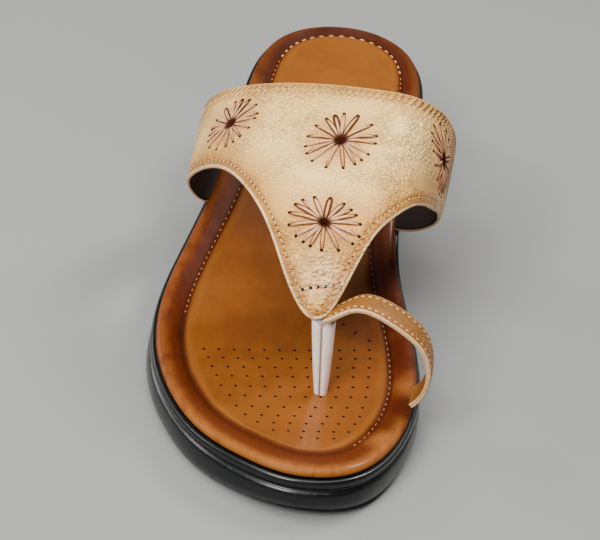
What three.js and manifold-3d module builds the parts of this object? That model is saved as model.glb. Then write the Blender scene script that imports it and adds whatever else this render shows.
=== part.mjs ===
// Thong wedge sandal for the right foot, standing empty on its sole.
// Millimetres, +Z up. The toe points along -Y and the big-toe side is +X.
import * as THREE from 'three';
import { mergeVertices } from 'three/addons/utils/BufferGeometryUtils.js';
import Module from 'manifold-3d';

// Driving dimensions
const footbedLength = 250;
const gap = 0.3; // clearance between pieces that meet
const edgeGap = 0.5; // the same at the straps' slanted edges, measured along the foot
const strapWall = 1.8; // leather and lining together
const trayDepth = 2.5; // how far the footbed is let into the sole
const trayInset = 2; // width of the sole's lip inside the footbed's edge
const sideStations = 44; // stations from heel to toe along each side

// Sections of the last, from heel to toe: the footbed's edge on both sides,
// the heights of the sole's edge and of its side groove, and the width of the footbed's rim
const lastSections = [
  { along: 0, lateral: 2.2, medial: 2.2, edge: 44, groove: 32.5, rim: 5.4 },
  { along: 12, lateral: -21.2, medial: 23.6, edge: 44, groove: 32.5, rim: 5.7 },
  { along: 30, lateral: -28.9, medial: 30.4, edge: 43.4, groove: 32, rim: 6.6 },
  { along: 60, lateral: -32.3, medial: 31.4, edge: 38.8, groove: 29.2, rim: 7.8 },
  { along: 95, lateral: -35.2, medial: 29.1, edge: 29.5, groove: 22.2, rim: 8.5 },
  { along: 130, lateral: -41.5, medial: 32, edge: 19.9, groove: 13.6, rim: 8.5 },
  { along: 160, lateral: -45.6, medial: 38.9, edge: 15.8, groove: 10.3, rim: 8.5 },
  { along: 190, lateral: -43.7, medial: 43.5, edge: 13.5, groove: 9.1, rim: 8.5 },
  { along: 215, lateral: -34.8, medial: 41.2, edge: 12.9, groove: 9.3, rim: 9 },
  { along: 235, lateral: -20.6, medial: 34, edge: 13.6, groove: 10.2, rim: 10.5 },
  { along: 246, lateral: -4.8, medial: 24.4, edge: 14.6, groove: 10.8, rim: 11.5 },
  { along: 250, lateral: 9.5, medial: 9.5, edge: 14.8, groove: 11, rim: 11.5 },
];

// Underside: a flat heel, an arch, a flat tread and a toe that springs up
const underside = {
  heelBevel: 8,
  heelRise: 1,
  heelEnd: 57,
  archTop: 95,
  archRise: 9.2,
  treadStart: 165,
  treadEnd: 226,
  toeSpring: 3.4,
};

// Side of the sole from the tray's floor round to the underside:
// distance outside the footbed's edge, and rise over the edge, the groove or the underside
const soleProfile = [
  { out: -trayInset - gap, over: 'edge', rise: -trayDepth },
  { out: -trayInset, over: 'edge', rise: 0 },
  { out: 0.9, over: 'edge', rise: 0 },
  { out: 1.5, over: 'edge', rise: -0.5 },
  { out: 1.8, over: 'edge', rise: -1.5 },
  { out: 1.7, over: 'groove', rise: 1.3 },
  { out: 0.8, over: 'groove', rise: 0.5 },
  { out: 0.7, over: 'groove', rise: -0.4 },
  { out: 1.5, over: 'groove', rise: -0.8 },
  { out: 2.1, over: 'groove', rise: -1.9 },
  { out: 2.5, over: 'groove', rise: -4.2 },
  { out: 2.4, over: 'underside', rise: 3 },
  { out: 1.6, over: 'underside', rise: 1.1 },
  { out: 0.6, over: 'underside', rise: 0.3 },
  { out: -0.9, over: 'underside', rise: 0 },
];

// Edge of the footbed from its underside over the rounded rim, as heights over the sole's edge
const rimProfile = [
  { out: -trayInset - 2 * gap, rise: gap - trayDepth },
  { out: -trayInset - gap, rise: gap },
  { out: -0.5, rise: gap },
  { out: 0.1, rise: 0.8 },
  { out: 0.1, rise: 1.6 },
  { out: -0.5, rise: 2.35 },
  { out: -1.6, rise: 2.85 },
  { out: -3, rise: 3 },
];

// Inner side of the rim down to the stitched channel, as shares of the rim's width
const channelProfile = [
  { share: 0.6, rise: 2.55 },
  { share: 0.76, rise: 1.85 },
  { share: 0.92, rise: 1.05 },
  { share: 1.05, rise: 0.8 },
  { share: 1.18, rise: 1.2 },
];
const field = {
  columns: 6,
  dish: 0.4, // depth of its middle
  heelDish: 1.2,
  heelDishEnd: 90,
  fullWidth: 40, // on narrower rows the dish runs out
};

// Sections of the strap over the instep: crown height, widest place to each side and its height
const strapSections = [
  { along: 76, crown: 95.5, lateral: -41, medial: 46.7, waist: 53 },
  { along: 96, crown: 93, lateral: -43, medial: 45.8, waist: 50 },
  { along: 116, crown: 87, lateral: -43.7, medial: 44.5, waist: 44.5 },
  { along: 140, crown: 80.5, lateral: -44, medial: 41.7, waist: 36 },
  { along: 170, crown: 70.7, lateral: -40.3, medial: 39.2, waist: 30 },
  { along: 186, crown: 61, lateral: -38, medial: 37.8, waist: 25.5 },
  { along: 202, crown: 40.3, lateral: -34.7, medial: 36.1, waist: 20.2 },
];

// The strap's front edge: sweep runs from -1 at the lateral base over the crown to 1 at the medial base
const strapFront = [
  { sweep: -1, along: 109.5 },
  { sweep: -0.86, along: 116.1 },
  { sweep: -0.72, along: 127.7 },
  { sweep: -0.56, along: 139.3 },
  { sweep: -0.4, along: 152 },
  { sweep: -0.26, along: 173 },
  { sweep: -0.15, along: 190.4 },
  { sweep: -0.07, along: 198.4 },
  { sweep: 0, along: 200.7 },
  { sweep: 0.06, along: 195.6 },
  { sweep: 0.13, along: 183.5 },
  { sweep: 0.22, along: 172.5 },
  { sweep: 0.34, along: 161 },
  { sweep: 0.48, along: 149.8 },
  { sweep: 0.62, along: 137.5 },
  { sweep: 0.76, along: 123 },
  { sweep: 0.88, along: 114.3 },
  { sweep: 1, along: 109.9 },
];
const strap = {
  rearAlong: 50.9, // the rear edge lies on a plane that leans back from here
  rearLean: 0.82,
  waistSweep: 0.74, // share of the sweep from the crown to the widest place
  lateralFullness: 0.9,
  medialFullness: 0.8,
  crownRear: 20.5, // place of the crown across the foot, at the rear and at the tip
  crownTip: 8.5,
  crownRearEnd: 130,
  crownTipStart: 201,
  baseInset: 1.5, // the strap goes under the rim here
  baseRise: 0.7,
  tuck: 3, // length turned in under the rim
  tuckSweep: 0.12,
  columns: 62,
  tuckColumns: 2,
  rows: 11,
};
const flowers = [
  { sweep: -0.07, along: 146.9 },
  { sweep: -0.047, along: 179.8 },
  { sweep: -0.418, along: 129.4 },
  { sweep: 0.503, along: 126 },
];
const flowerHole = { radius: 1.8, depth: 8, sides: 14 };

// Middle of the toe loop, from under the strap's tip over the big toe to the medial edge;
// skew leans its width towards the medial side
const toeLoop = [
  { across: 7.5, along: 198.6, up: 41.2, skew: -0.3 },
  { across: 12.8, along: 199.4, up: 44.4, skew: -0.3 },
  { across: 20.9, along: 200.4, up: 50.4, skew: -0.26 },
  { across: 33.4, along: 201.5, up: 47.7, skew: -0.26 },
  { across: 43.9, along: 201.3, up: 38.8, skew: -0.08 },
  { across: 46.7, along: 200, up: 26, skew: -0.04 },
  { across: 43.6, along: 198.2, up: 16.4, skew: -0.04 },
  { across: 41, along: 197.8, up: 14.1, skew: -0.04 },
  { across: 39, along: 197.7, up: 13.8, skew: -0.04 },
];
const loopWidth = 10.6;
const loopSteps = 44;

// Toe post: a folded strip that narrows downwards, with a seam down its front
const toePost = {
  footAlong: 200.4,
  headAlong: 198.2,
  footAcross: 12.7,
  headAcross: 9.3,
  head: 52,
  footWidth: 3.1,
  headWidth: 9,
  flare: 0.6, // below 1 it widens quickly over its foot
  depth: 5,
  seamDepth: 0.6,
  seamWidth: 0.9,
  sides: 24,
  steps: 10,
  seamAt: -0.12,
  headCover: 22, // reach of the forms that trim its head under the strap
};

// Curves through the columns of a table
const columnOf = (rows, name) => rows.map((row) => row[name]);

// Natural cubic through values at rising knots
function smoothCurve(knots, values) {
  const last = knots.length - 1;
  const bends = new Array(last + 1).fill(0);
  const carry = new Array(last + 1).fill(0);
  for (let k = 1; k < last; k++) {
    const before = knots[k] - knots[k - 1];
    const after = knots[k + 1] - knots[k];
    const share = before / (before + after);
    const pivot = share * bends[k - 1] + 2;
    const kink = (values[k + 1] - values[k]) / after - (values[k] - values[k - 1]) / before;
    bends[k] = (share - 1) / pivot;
    carry[k] = ((6 * kink) / (before + after) - share * carry[k - 1]) / pivot;
  }
  for (let k = last - 1; k >= 0; k--) {
    bends[k] = bends[k] * bends[k + 1] + carry[k];
  }
  return (at) => {
    const found = knots.findIndex((knot) => knot >= at);
    const right = found < 0 ? last : Math.max(found, 1);
    const span = knots[right] - knots[right - 1];
    const low = (knots[right] - at) / span;
    const high = 1 - low;
    const bend = (low ** 3 - low) * bends[right - 1] + (high ** 3 - high) * bends[right];
    return low * values[right - 1] + high * values[right] + (bend * span * span) / 6;
  };
}

const curveOf = (rows, key, name) => smoothCurve(columnOf(rows, key), columnOf(rows, name));

// Outline of the footbed: a turn of 0 is the heel and 1 the toe, spaced so that both ends are round
const alongAt = (turn) => (footbedLength * (1 - Math.cos(Math.PI * turn))) / 2;
const turnAt = (along) => Math.acos(1 - (2 * along) / footbedLength) / Math.PI;
const lastTurns = columnOf(lastSections, 'along').map(turnAt);
const lateralEdge = smoothCurve(lastTurns, columnOf(lastSections, 'lateral'));
const medialEdge = smoothCurve(lastTurns, columnOf(lastSections, 'medial'));
const edgeHeight = curveOf(lastSections, 'along', 'edge');
const grooveHeight = curveOf(lastSections, 'along', 'groove');
const rimWidth = curveOf(lastSections, 'along', 'rim');

function undersideHeight(along) {
  const { smoothstep } = THREE.MathUtils;
  const heel = underside.heelRise * (1 - smoothstep(along, 0, underside.heelBevel));
  const rising = smoothstep(along, underside.heelEnd, underside.archTop);
  const falling = 1 - smoothstep(along, underside.archTop, underside.treadStart);
  const past = Math.max(0, along - underside.treadEnd) / (footbedLength - underside.treadEnd);
  return heel + underside.archRise * rising * falling + underside.toeSpring * past * past;
}

const levels = { edge: edgeHeight, groove: grooveHeight, underside: undersideHeight };
const place = (across, along, up) => new THREE.Vector3(across, footbedLength / 2 - along, up);

// Point beside the footbed's edge; side is -1 for lateral and 1 for medial
function besideEdge(side, turn, out, up) {
  const edge = side < 0 ? lateralEdge : medialEdge;
  const step = 1e-3;
  const across = edge(turn + step) - edge(turn - step);
  const forward = alongAt(turn + step) - alongAt(turn - step);
  const reach = (side * out) / Math.hypot(across, forward);
  return place(edge(turn) + forward * reach, alongAt(turn) - across * reach, up);
}

// Closed ring round the footbed, along the lateral side to the toe and back along the medial side
function ringRound(outAt, heightAt) {
  const ring = [];
  for (let spot = 0; spot < 2 * sideStations; spot++) {
    const side = spot <= sideStations ? -1 : 1;
    const turn = side < 0 ? spot / sideStations : 2 - spot / sideStations;
    const along = alongAt(turn);
    ring.push(besideEdge(side, turn, outAt(along), heightAt(along)));
  }
  return ring;
}

// Mesh building
function geometryOf(points, triangles) {
  const geometry = new THREE.BufferGeometry();
  geometry.setAttribute('position', new THREE.Float32BufferAttribute(points.flatMap((p) => p.toArray()), 3));
  geometry.setIndex(triangles);
  return geometry;
}

function quad(triangles, a, b, c, d) {
  triangles.push(a, b, c, a, c, d);
}

// Rows of points across a ring, from the lateral to the medial side; the ring's own points end each row
function rowsAcross(points, ring, columns, lift) {
  const start = points.length - ring.length;
  const rows = [];
  for (let station = 0; station <= sideStations; station++) {
    const lateral = start + station;
    const medial = start + ((2 * sideStations - station) % (2 * sideStations));
    const width = points[lateral].distanceTo(points[medial]);
    const row = [lateral];
    if (lateral !== medial) {
      for (let column = 1; column <= columns; column++) {
        const share = column / (columns + 1);
        const spot = points[lateral].clone().lerp(points[medial], share);
        spot.z += lift(alongAt(station / sideStations), share, width);
        row.push(points.push(spot) - 1);
      }
      row.push(medial);
    }
    rows.push(row);
  }
  return rows;
}

// Triangles between two rows across, either of which may be a single point
function fillRows(triangles, back, front) {
  const count = Math.max(back.length, front.length);
  for (let k = 0; k < count - 1; k++) {
    if (back.length === 1) {
      triangles.push(back[0], front[k], front[k + 1]);
    } else if (front.length === 1) {
      triangles.push(back[k], front[0], back[k + 1]);
    } else {
      quad(triangles, back[k], front[k], front[k + 1], back[k + 1]);
    }
  }
}

// Closed skin through rings from the underside upwards or from a floor downwards, capped at both ends
function skinOf(rings, columns, lift) {
  const points = [];
  const triangles = [];
  const size = 2 * sideStations;
  points.push(...rings[0]);
  const floorRows = rowsAcross(points, rings[0], 0, lift);
  for (const ring of rings.slice(1)) points.push(...ring);
  const roofRows = rowsAcross(points, rings.at(-1), columns, lift);
  for (let ring = 0; ring < rings.length - 1; ring++) {
    const low = ring * size;
    const high = low + size;
    for (let spot = 0; spot < size; spot++) {
      const next = (spot + 1) % size;
      quad(triangles, low + spot, low + next, high + next, high + spot);
    }
  }
  for (let station = 0; station < sideStations; station++) {
    fillRows(triangles, floorRows[station + 1], floorRows[station]);
    fillRows(triangles, roofRows[station], roofRows[station + 1]);
  }
  return geometryOf(points, triangles);
}

// Wall of a given depth along the normals of a grid of places, closed at its four edges
function wallOf(grid, inner, outer) {
  const columns = grid.length;
  const rows = grid[0].length;
  const points = [];
  for (const reach of [outer, inner]) {
    for (const column of grid) {
      for (const { spot, normal } of column) points.push(spot.clone().addScaledVector(normal, reach));
    }
  }
  const half = columns * rows;
  const at = (column, row, layer) => layer * half + column * rows + row;
  const triangles = [];
  const side = columns - 1;
  const front = rows - 1;
  for (let c = 0; c < side; c++) {
    for (let r = 0; r < front; r++) {
      quad(triangles, at(c, r, 0), at(c, r + 1, 0), at(c + 1, r + 1, 0), at(c + 1, r, 0));
      quad(triangles, at(c, r, 1), at(c + 1, r, 1), at(c + 1, r + 1, 1), at(c, r + 1, 1));
    }
    quad(triangles, at(c, 0, 0), at(c + 1, 0, 0), at(c + 1, 0, 1), at(c, 0, 1));
    quad(triangles, at(c + 1, front, 0), at(c, front, 0), at(c, front, 1), at(c + 1, front, 1));
  }
  for (let r = 0; r < front; r++) {
    quad(triangles, at(0, r + 1, 0), at(0, r, 0), at(0, r, 1), at(0, r + 1, 1));
    quad(triangles, at(side, r, 0), at(side, r + 1, 0), at(side, r + 1, 1), at(side, r, 1));
  }
  return geometryOf(points, triangles);
}

// Joining and cutting
const wasm = await Module();
wasm.setup();

function solidOf(geometry) {
  const bare = geometry.clone();
  bare.deleteAttribute('normal');
  bare.deleteAttribute('uv');
  const merged = mergeVertices(bare);
  const vertProperties = new Float32Array(merged.attributes.position.array);
  const triVerts = new Uint32Array(merged.index.array);
  return new wasm.Manifold(new wasm.Mesh({ numProp: 3, vertProperties, triVerts }));
}

function geometryFrom(solid) {
  const mesh = solid.getMesh();
  const geometry = new THREE.BufferGeometry();
  geometry.setAttribute('position', new THREE.Float32BufferAttribute(mesh.vertProperties, mesh.numProp));
  geometry.setIndex(Array.from(mesh.triVerts));
  return geometry;
}

// Strap over the instep: place and outward normal at a sweep and a distance from the heel
const strapCrown = curveOf(strapSections, 'along', 'crown');
const strapLateral = curveOf(strapSections, 'along', 'lateral');
const strapMedial = curveOf(strapSections, 'along', 'medial');
const strapWaist = curveOf(strapSections, 'along', 'waist');
const frontAlong = curveOf(strapFront, 'sweep', 'along');

function strapSpot(sweep, along) {
  const side = sweep < 0 ? -1 : 1;
  const reach = Math.abs(sweep);
  const { mapLinear, clamp } = THREE.MathUtils;
  const late = clamp(mapLinear(along, strap.crownRearEnd, strap.crownTipStart, 0, 1), 0, 1);
  const crownAcross = THREE.MathUtils.lerp(strap.crownRear, strap.crownTip, late);
  const wide = (side < 0 ? strapLateral : strapMedial)(along);
  const waist = strapWaist(along);
  if (reach <= strap.waistSweep) {
    const angle = ((reach / strap.waistSweep) * Math.PI) / 2;
    const fullness = side < 0 ? strap.lateralFullness : strap.medialFullness;
    const outward = Math.sin(angle) ** fullness;
    const upward = Math.max(0, Math.cos(angle)) ** fullness;
    const across = crownAcross + (wide - crownAcross) * outward;
    return place(across, along, waist + (strapCrown(along) - waist) * upward);
  }
  const edge = (side < 0 ? lateralEdge : medialEdge)(turnAt(along));
  const base = edge - side * strap.baseInset;
  const baseUp = edgeHeight(along) + strap.baseRise;
  if (reach <= 1) {
    const angle = (((reach - strap.waistSweep) / (1 - strap.waistSweep)) * Math.PI) / 2;
    return place(base + (wide - base) * Math.cos(angle), along, waist - (waist - baseUp) * Math.sin(angle));
  }
  return place(base - (side * strap.tuck * (reach - 1)) / strap.tuckSweep, along, baseUp);
}

function strapNormal(sweep, along) {
  const step = 0.004;
  const over = strapSpot(sweep + step, along).sub(strapSpot(sweep - step, along));
  const forward = strapSpot(sweep, along + step).sub(strapSpot(sweep, along - step));
  return forward.cross(over).normalize();
}

// The rear edge is where the strap meets its leaning plane
function rearAlong(sweep) {
  let low = strapSections[0].along;
  let high = strapSections[3].along;
  while (high - low > 1e-4) {
    const along = (low + high) / 2;
    if (along < strap.rearAlong + strap.rearLean * strapSpot(sweep, along).z) {
      low = along;
    } else {
      high = along;
    }
  }
  return low;
}

// Sweeps of the strap's columns, closest together at the tip
function strapSweeps(spare) {
  const sweeps = [];
  const tuckStep = (strap.tuckSweep * (1 + spare / strap.tuck)) / strap.tuckColumns;
  for (let k = strap.tuckColumns; k > 0; k--) sweeps.push(-1 - k * tuckStep);
  for (let k = 0; k <= strap.columns; k++) {
    const share = (2 * k) / strap.columns - 1;
    sweeps.push(0.5 * share + 0.5 * share ** 3);
  }
  for (let k = 1; k <= strap.tuckColumns; k++) sweeps.push(1 + k * tuckStep);
  return sweeps;
}

function strapForm(inner, outer, spare) {
  const grid = strapSweeps(spare).map((sweep) => {
    const held = THREE.MathUtils.clamp(sweep, -1, 1);
    const rear = rearAlong(held) - spare;
    const front = frontAlong(held) + spare;
    return Array.from({ length: strap.rows + 1 }, (_, row) => {
      const along = THREE.MathUtils.lerp(rear, front, row / strap.rows);
      return { spot: strapSpot(sweep, along), normal: strapNormal(sweep, along) };
    });
  });
  return solidOf(wallOf(grid, inner, outer));
}

// Toe loop: a band along its middle line
function loopForm(inner, outer, spare) {
  const spots = toeLoop.map((row) => place(row.across, row.along, row.up));
  const knots = spots.map(() => 0);
  for (let k = 1; k < spots.length; k++) knots[k] = knots[k - 1] + spots[k].distanceTo(spots[k - 1]);
  const axes = ['x', 'y', 'z'].map((axis) => smoothCurve(knots, spots.map((spot) => spot[axis])));
  const skewAt = smoothCurve(knots, columnOf(toeLoop, 'skew'));
  const middle = (at) => new THREE.Vector3(...axes.map((axis) => axis(at)));
  const step = 0.05;
  const grid = Array.from({ length: loopSteps + 1 }, (_, k) => {
    const at = THREE.MathUtils.lerp(-spare, knots.at(-1) + spare, k / loopSteps);
    const forward = middle(at + step).sub(middle(at - step));
    const width = new THREE.Vector3(skewAt(at), -1, 0).normalize();
    const normal = width.clone().cross(forward).normalize();
    return [-1, 1].map((side) => {
      const spot = middle(at).addScaledVector(width, side * (loopWidth / 2 + spare));
      return { spot, normal };
    });
  });
  return solidOf(wallOf(grid, inner, outer));
}

function flowerPunch({ sweep, along }) {
  const { radius, depth, sides } = flowerHole;
  const punch = new THREE.CylinderGeometry(radius, radius, depth, sides);
  const up = new THREE.Vector3(0, 1, 0);
  punch.applyQuaternion(new THREE.Quaternion().setFromUnitVectors(up, strapNormal(sweep, along)));
  punch.translate(...strapSpot(sweep, along).toArray());
  return solidOf(punch);
}

// Toe post, grown all round by a spare width where it cuts its hole in the footbed
function postForm(foot, spare) {
  const points = [];
  const triangles = [];
  for (let step = 0; step <= toePost.steps; step++) {
    const share = step / toePost.steps;
    const across = THREE.MathUtils.lerp(toePost.footAcross, toePost.headAcross, share);
    const flared = share ** toePost.flare;
    const width = THREE.MathUtils.lerp(toePost.footWidth, toePost.headWidth, flared) / 2 + spare;
    const depth = toePost.depth / 2 + spare;
    const along = THREE.MathUtils.lerp(toePost.footAlong, toePost.headAlong, share);
    for (let k = 0; k < toePost.sides; k++) {
      const angle = (2 * Math.PI * k) / toePost.sides;
      const side = Math.cos(angle);
      const front = Math.sin(angle);
      const offset = ((side - toePost.seamAt) * width) / toePost.seamWidth;
      const seam = spare > 0 || front < 0 ? 0 : toePost.seamDepth * Math.exp(-offset * offset);
      const up = THREE.MathUtils.lerp(foot, toePost.head, share);
      points.push(place(across + width * side, along + front * depth - seam, up));
    }
  }
  const ringAt = (step, k) => step * toePost.sides + (k % toePost.sides);
  for (let step = 0; step < toePost.steps; step++) {
    for (let k = 0; k < toePost.sides; k++) {
      quad(triangles, ringAt(step, k), ringAt(step + 1, k), ringAt(step + 1, k + 1), ringAt(step, k + 1));
    }
  }
  for (let k = 1; k < toePost.sides - 1; k++) {
    triangles.push(ringAt(0, 0), ringAt(0, k), ringAt(0, k + 1));
    triangles.push(ringAt(toePost.steps, 0), ringAt(toePost.steps, k + 1), ringAt(toePost.steps, k));
  }
  return solidOf(geometryOf(points, triangles));
}

// Pieces
const half = strapWall / 2;
const strapRoom = strapForm(-half - gap, half + gap, edgeGap);
const loopRoom = loopForm(-half - gap, half + gap, edgeGap);

function soleSolid() {
  const rings = soleProfile.map((row) => {
    return ringRound(() => row.out, (along) => levels[row.over](along) + row.rise);
  });
  const block = solidOf(skinOf(rings.reverse(), 0, () => 0));
  return block.subtract(strapRoom).subtract(loopRoom);
}

function footbedSolid() {
  const rim = rimProfile.map((row) => ringRound(() => row.out, (along) => edgeHeight(along) + row.rise));
  const channel = channelProfile.map((row) => {
    return ringRound((along) => -row.share * rimWidth(along), (along) => edgeHeight(along) + row.rise);
  });
  const { lerp, smoothstep } = THREE.MathUtils;
  const dishAt = (along) => lerp(field.heelDish, field.dish, smoothstep(along, 0, field.heelDishEnd));
  const lift = (along, share, width) => {
    return -dishAt(along) * smoothstep(width, 0, field.fullWidth) * 4 * share * (1 - share);
  };
  const block = solidOf(skinOf([...rim, ...channel], field.columns, lift));
  const floor = edgeHeight(toePost.footAlong) - trayDepth;
  return block.subtract(strapRoom).subtract(loopRoom).subtract(postForm(floor - gap, gap));
}

function upperSolid() {
  const bands = strapForm(-half, half, 0).add(loopForm(-half, half, 0));
  return flowers.reduce((solid, flower) => solid.subtract(flowerPunch(flower)), bands);
}

function postSolid() {
  const foot = edgeHeight(toePost.footAlong) - trayDepth + gap;
  const cover = half + toePost.headCover;
  const trimmed = postForm(foot, 0).subtract(strapForm(-half - gap, cover, edgeGap));
  return trimmed.subtract(loopForm(-half - gap, cover, edgeGap));
}

function piece(name, solid, finish) {
  const mesh = new THREE.Mesh(geometryFrom(solid), new THREE.MeshStandardMaterial(finish));
  mesh.name = name;
  return mesh;
}

const sandal = new THREE.Group();
sandal.add(
  piece('sole', soleSolid(), { color: 0x161b1b, roughness: 0.3, metalness: 0 }),
  piece('footbed', footbedSolid(), { color: 0x8a4e1c, roughness: 0.3, metalness: 0 }),
  piece('upper', upperSolid(), { color: 0xd9b98c, roughness: 0.5, metalness: 0 }),
  piece('toe_post', postSolid(), { color: 0xd8c6c2, roughness: 0.35, metalness: 0 }),
);

// Stand the sandal on the floor with its middle over the origin
const box = new THREE.Box3().setFromObject(sandal);
const middle = box.getCenter(new THREE.Vector3());
sandal.position.set(-middle.x, -middle.y, -box.min.z);

export default sandal;
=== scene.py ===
import math

import bpy
import numpy as np
from mathutils import Matrix, Vector
from mathutils.bvhtree import BVHTree
from mathutils.kdtree import KDTree


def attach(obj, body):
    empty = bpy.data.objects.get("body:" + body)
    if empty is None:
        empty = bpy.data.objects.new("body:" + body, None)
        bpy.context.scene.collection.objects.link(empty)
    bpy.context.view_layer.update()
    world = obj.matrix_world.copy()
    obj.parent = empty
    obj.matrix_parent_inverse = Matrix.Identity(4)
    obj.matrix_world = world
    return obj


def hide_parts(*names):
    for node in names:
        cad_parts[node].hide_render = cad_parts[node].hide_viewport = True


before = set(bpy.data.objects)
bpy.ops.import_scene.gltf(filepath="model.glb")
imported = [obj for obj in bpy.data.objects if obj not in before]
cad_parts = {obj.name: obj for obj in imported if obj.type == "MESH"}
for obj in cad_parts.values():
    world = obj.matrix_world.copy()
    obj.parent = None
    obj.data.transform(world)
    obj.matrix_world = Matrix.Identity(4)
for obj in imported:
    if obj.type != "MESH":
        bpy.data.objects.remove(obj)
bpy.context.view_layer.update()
mm = 0.001  # tables and sizes are in millimetres, meshes in metres
print("frame loaded:", sorted(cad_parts))


# curves through tables

def smoothCurve(knots, values):  # natural cubic through values at rising knots
    spans = np.diff(knots)
    slopes = np.diff(values) / spans
    system = np.eye(len(knots))
    kinks = np.zeros(len(knots))
    for k in range(1, len(knots) - 1):
        system[k, k - 1:k + 2] = spans[k - 1], 2 * (spans[k - 1] + spans[k]), spans[k]
        kinks[k] = 6 * (slopes[k] - slopes[k - 1])
    bends = np.linalg.solve(system, kinks)

    def valueAt(at):
        right = np.clip(np.searchsorted(knots, at), 1, len(knots) - 1)
        span = spans[right - 1]
        low = (knots[right] - at) / span
        high = 1 - low
        bend = (low ** 3 - low) * bends[right - 1] + (high ** 3 - high) * bends[right]
        return low * values[right - 1] + high * values[right] + bend * span * span / 6

    return valueAt


def smoothStep(value, low, high):
    share = np.clip((value - low) / (high - low), 0, 1)
    return share * share * (3 - 2 * share)


def mixed(low, high, share):
    return low + (high - low) * share


def unit(vectors):
    return vectors / np.linalg.norm(vectors, axis=-1, keepdims=True)


def hump(distance, width):  # soft bell of height 1
    return np.exp(-(distance / width) ** 2)


def runLength(spots):  # distance along a line of places
    return np.concatenate([[0], np.cumsum(np.linalg.norm(np.diff(spots, axis=0), axis=1))])


# the last: every piece is placed on it

last = {
    "length": 250,
    "centring": 0.31,  # the frame is centred on the whole sandal, these tables on the last
    "stations": 150,  # down each side, from heel to toe
}
lastSections = np.array([
    # along, lateral edge, medial edge, edge height, groove height, rim width
    (0, 2.2, 2.2, 44, 32.5, 5.4),
    (12, -21.2, 23.6, 44, 32.5, 5.7),
    (30, -28.9, 30.4, 43.4, 32, 6.6),
    (60, -32.3, 31.4, 38.8, 29.2, 7.8),
    (95, -35.2, 29.1, 29.5, 22.2, 8.5),
    (130, -41.5, 32, 19.9, 13.6, 8.5),
    (160, -45.6, 38.9, 15.8, 10.3, 8.5),
    (190, -43.7, 43.5, 13.5, 9.1, 8.5),
    (215, -34.8, 41.2, 12.9, 9.3, 9),
    (235, -20.6, 34, 13.6, 10.2, 10.5),
    (246, -4.8, 24.4, 14.6, 10.8, 11.5),
    (250, 9.5, 9.5, 14.8, 11, 11.5),
])


def alongAt(turn):  # a turn of 0 is the heel and 1 the toe
    return last["length"] * (1 - np.cos(np.pi * turn)) / 2


def turnAt(along):
    return np.arccos(np.clip(1 - 2 * along / last["length"], -1, 1)) / np.pi


lastAlong, *lastColumns = lastSections.T
lateralEdge, medialEdge = (smoothCurve(turnAt(lastAlong), column) for column in lastColumns[:2])
edgeHeight, grooveHeight, rimWidth = (smoothCurve(lastAlong, column) for column in lastColumns[2:])


def place(across, along, up):
    across, along, up = np.broadcast_arrays(across, along, up)
    return np.stack([across + last["centring"], last["length"] / 2 - along, up], -1).astype(float)


def edgeAcross(side, turn):
    return np.where(side < 0, lateralEdge(turn), medialEdge(turn))


def besideEdge(side, turn, out, up):  # side is -1 for lateral and 1 for medial
    nudge = 1e-3
    across = edgeAcross(side, turn + nudge) - edgeAcross(side, turn - nudge)
    forward = alongAt(turn + nudge) - alongAt(turn - nudge)
    reach = side * out / np.hypot(across, forward)
    return place(edgeAcross(side, turn) + forward * reach, alongAt(turn) - across * reach, up)


ringSpots = np.arange(2 * last["stations"])
ringSides = np.where(ringSpots <= last["stations"], -1, 1)
ringTurns = np.where(ringSides < 0, ringSpots, 2 * last["stations"] - ringSpots) / last["stations"]
ringAlongs = alongAt(ringTurns)


# meshes

def linked(name, data):
    made = bpy.data.objects.new(name, data)
    bpy.context.scene.collection.objects.link(made)
    return made


def marked(mesh, label, values, kind="FLOAT", field="value"):
    layer = mesh.attributes.new(label, kind, "POINT")
    layer.data.foreach_set(field, np.ravel(values).astype(np.float32))


def meshPiece(name, points, faces, finishes, marks, faceFinish=None):
    points = points.reshape(-1, 3)
    mesh = bpy.data.meshes.new(name)
    mesh.from_pydata((points * mm).tolist(), [], faces)
    for finish in finishes:
        mesh.materials.append(finish)
    if faceFinish is not None:
        mesh.polygons.foreach_set("material_index", np.asarray(faceFinish, np.int32))
    for label, values in marks.items():
        marked(mesh, label, values)
    mesh.shade_smooth()
    mesh.calc_loop_triangles()
    corners = np.zeros(3 * len(mesh.loop_triangles), np.int32)
    mesh.loop_triangles.foreach_get("vertices", corners)
    first, second, third = points[corners.reshape(-1, 3)].transpose(1, 0, 2)
    if np.einsum("ij,ij->", first, np.cross(second, third)) < 0:  # inside out
        mesh.flip_normals()
    mesh.update()
    return linked(name, mesh)


def settled(piece, slot, *nodes):
    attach(piece, "root")
    if nodes:
        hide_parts(*nodes)
    print(piece.name, len(piece.data.polygons), "faces")


def cutCorners(rows, times):  # rounds a profile by cutting its corners
    rows = np.array(rows)
    for _ in range(times):
        near = 0.75 * rows[:-1] + 0.25 * rows[1:]
        far = 0.25 * rows[:-1] + 0.75 * rows[1:]
        between = np.stack([near, far], 1).reshape(-1, *rows.shape[1:])
        rows = np.concatenate([rows[:1], between, rows[-1:]])
    return rows


def ringFaces(rings, size):
    spot = np.arange(size)
    following = (spot + 1) % size
    faces = []
    for low in range(0, (rings - 1) * size, size):
        high = low + size
        faces += np.stack([low + spot, low + following, high + following, high + spot], 1).tolist()
    return faces


def endFaces(rings, size):  # one face over the first ring and one over the last
    return [list(range(size))[::-1], list(range((rings - 1) * size, rings * size))]


def acrossRows(ringStart):  # pairs of lateral and medial points, from heel to toe
    stations = last["stations"]
    station = np.arange(stations + 1)
    return ringStart + station, ringStart + (2 * stations - station) % (2 * stations)


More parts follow.
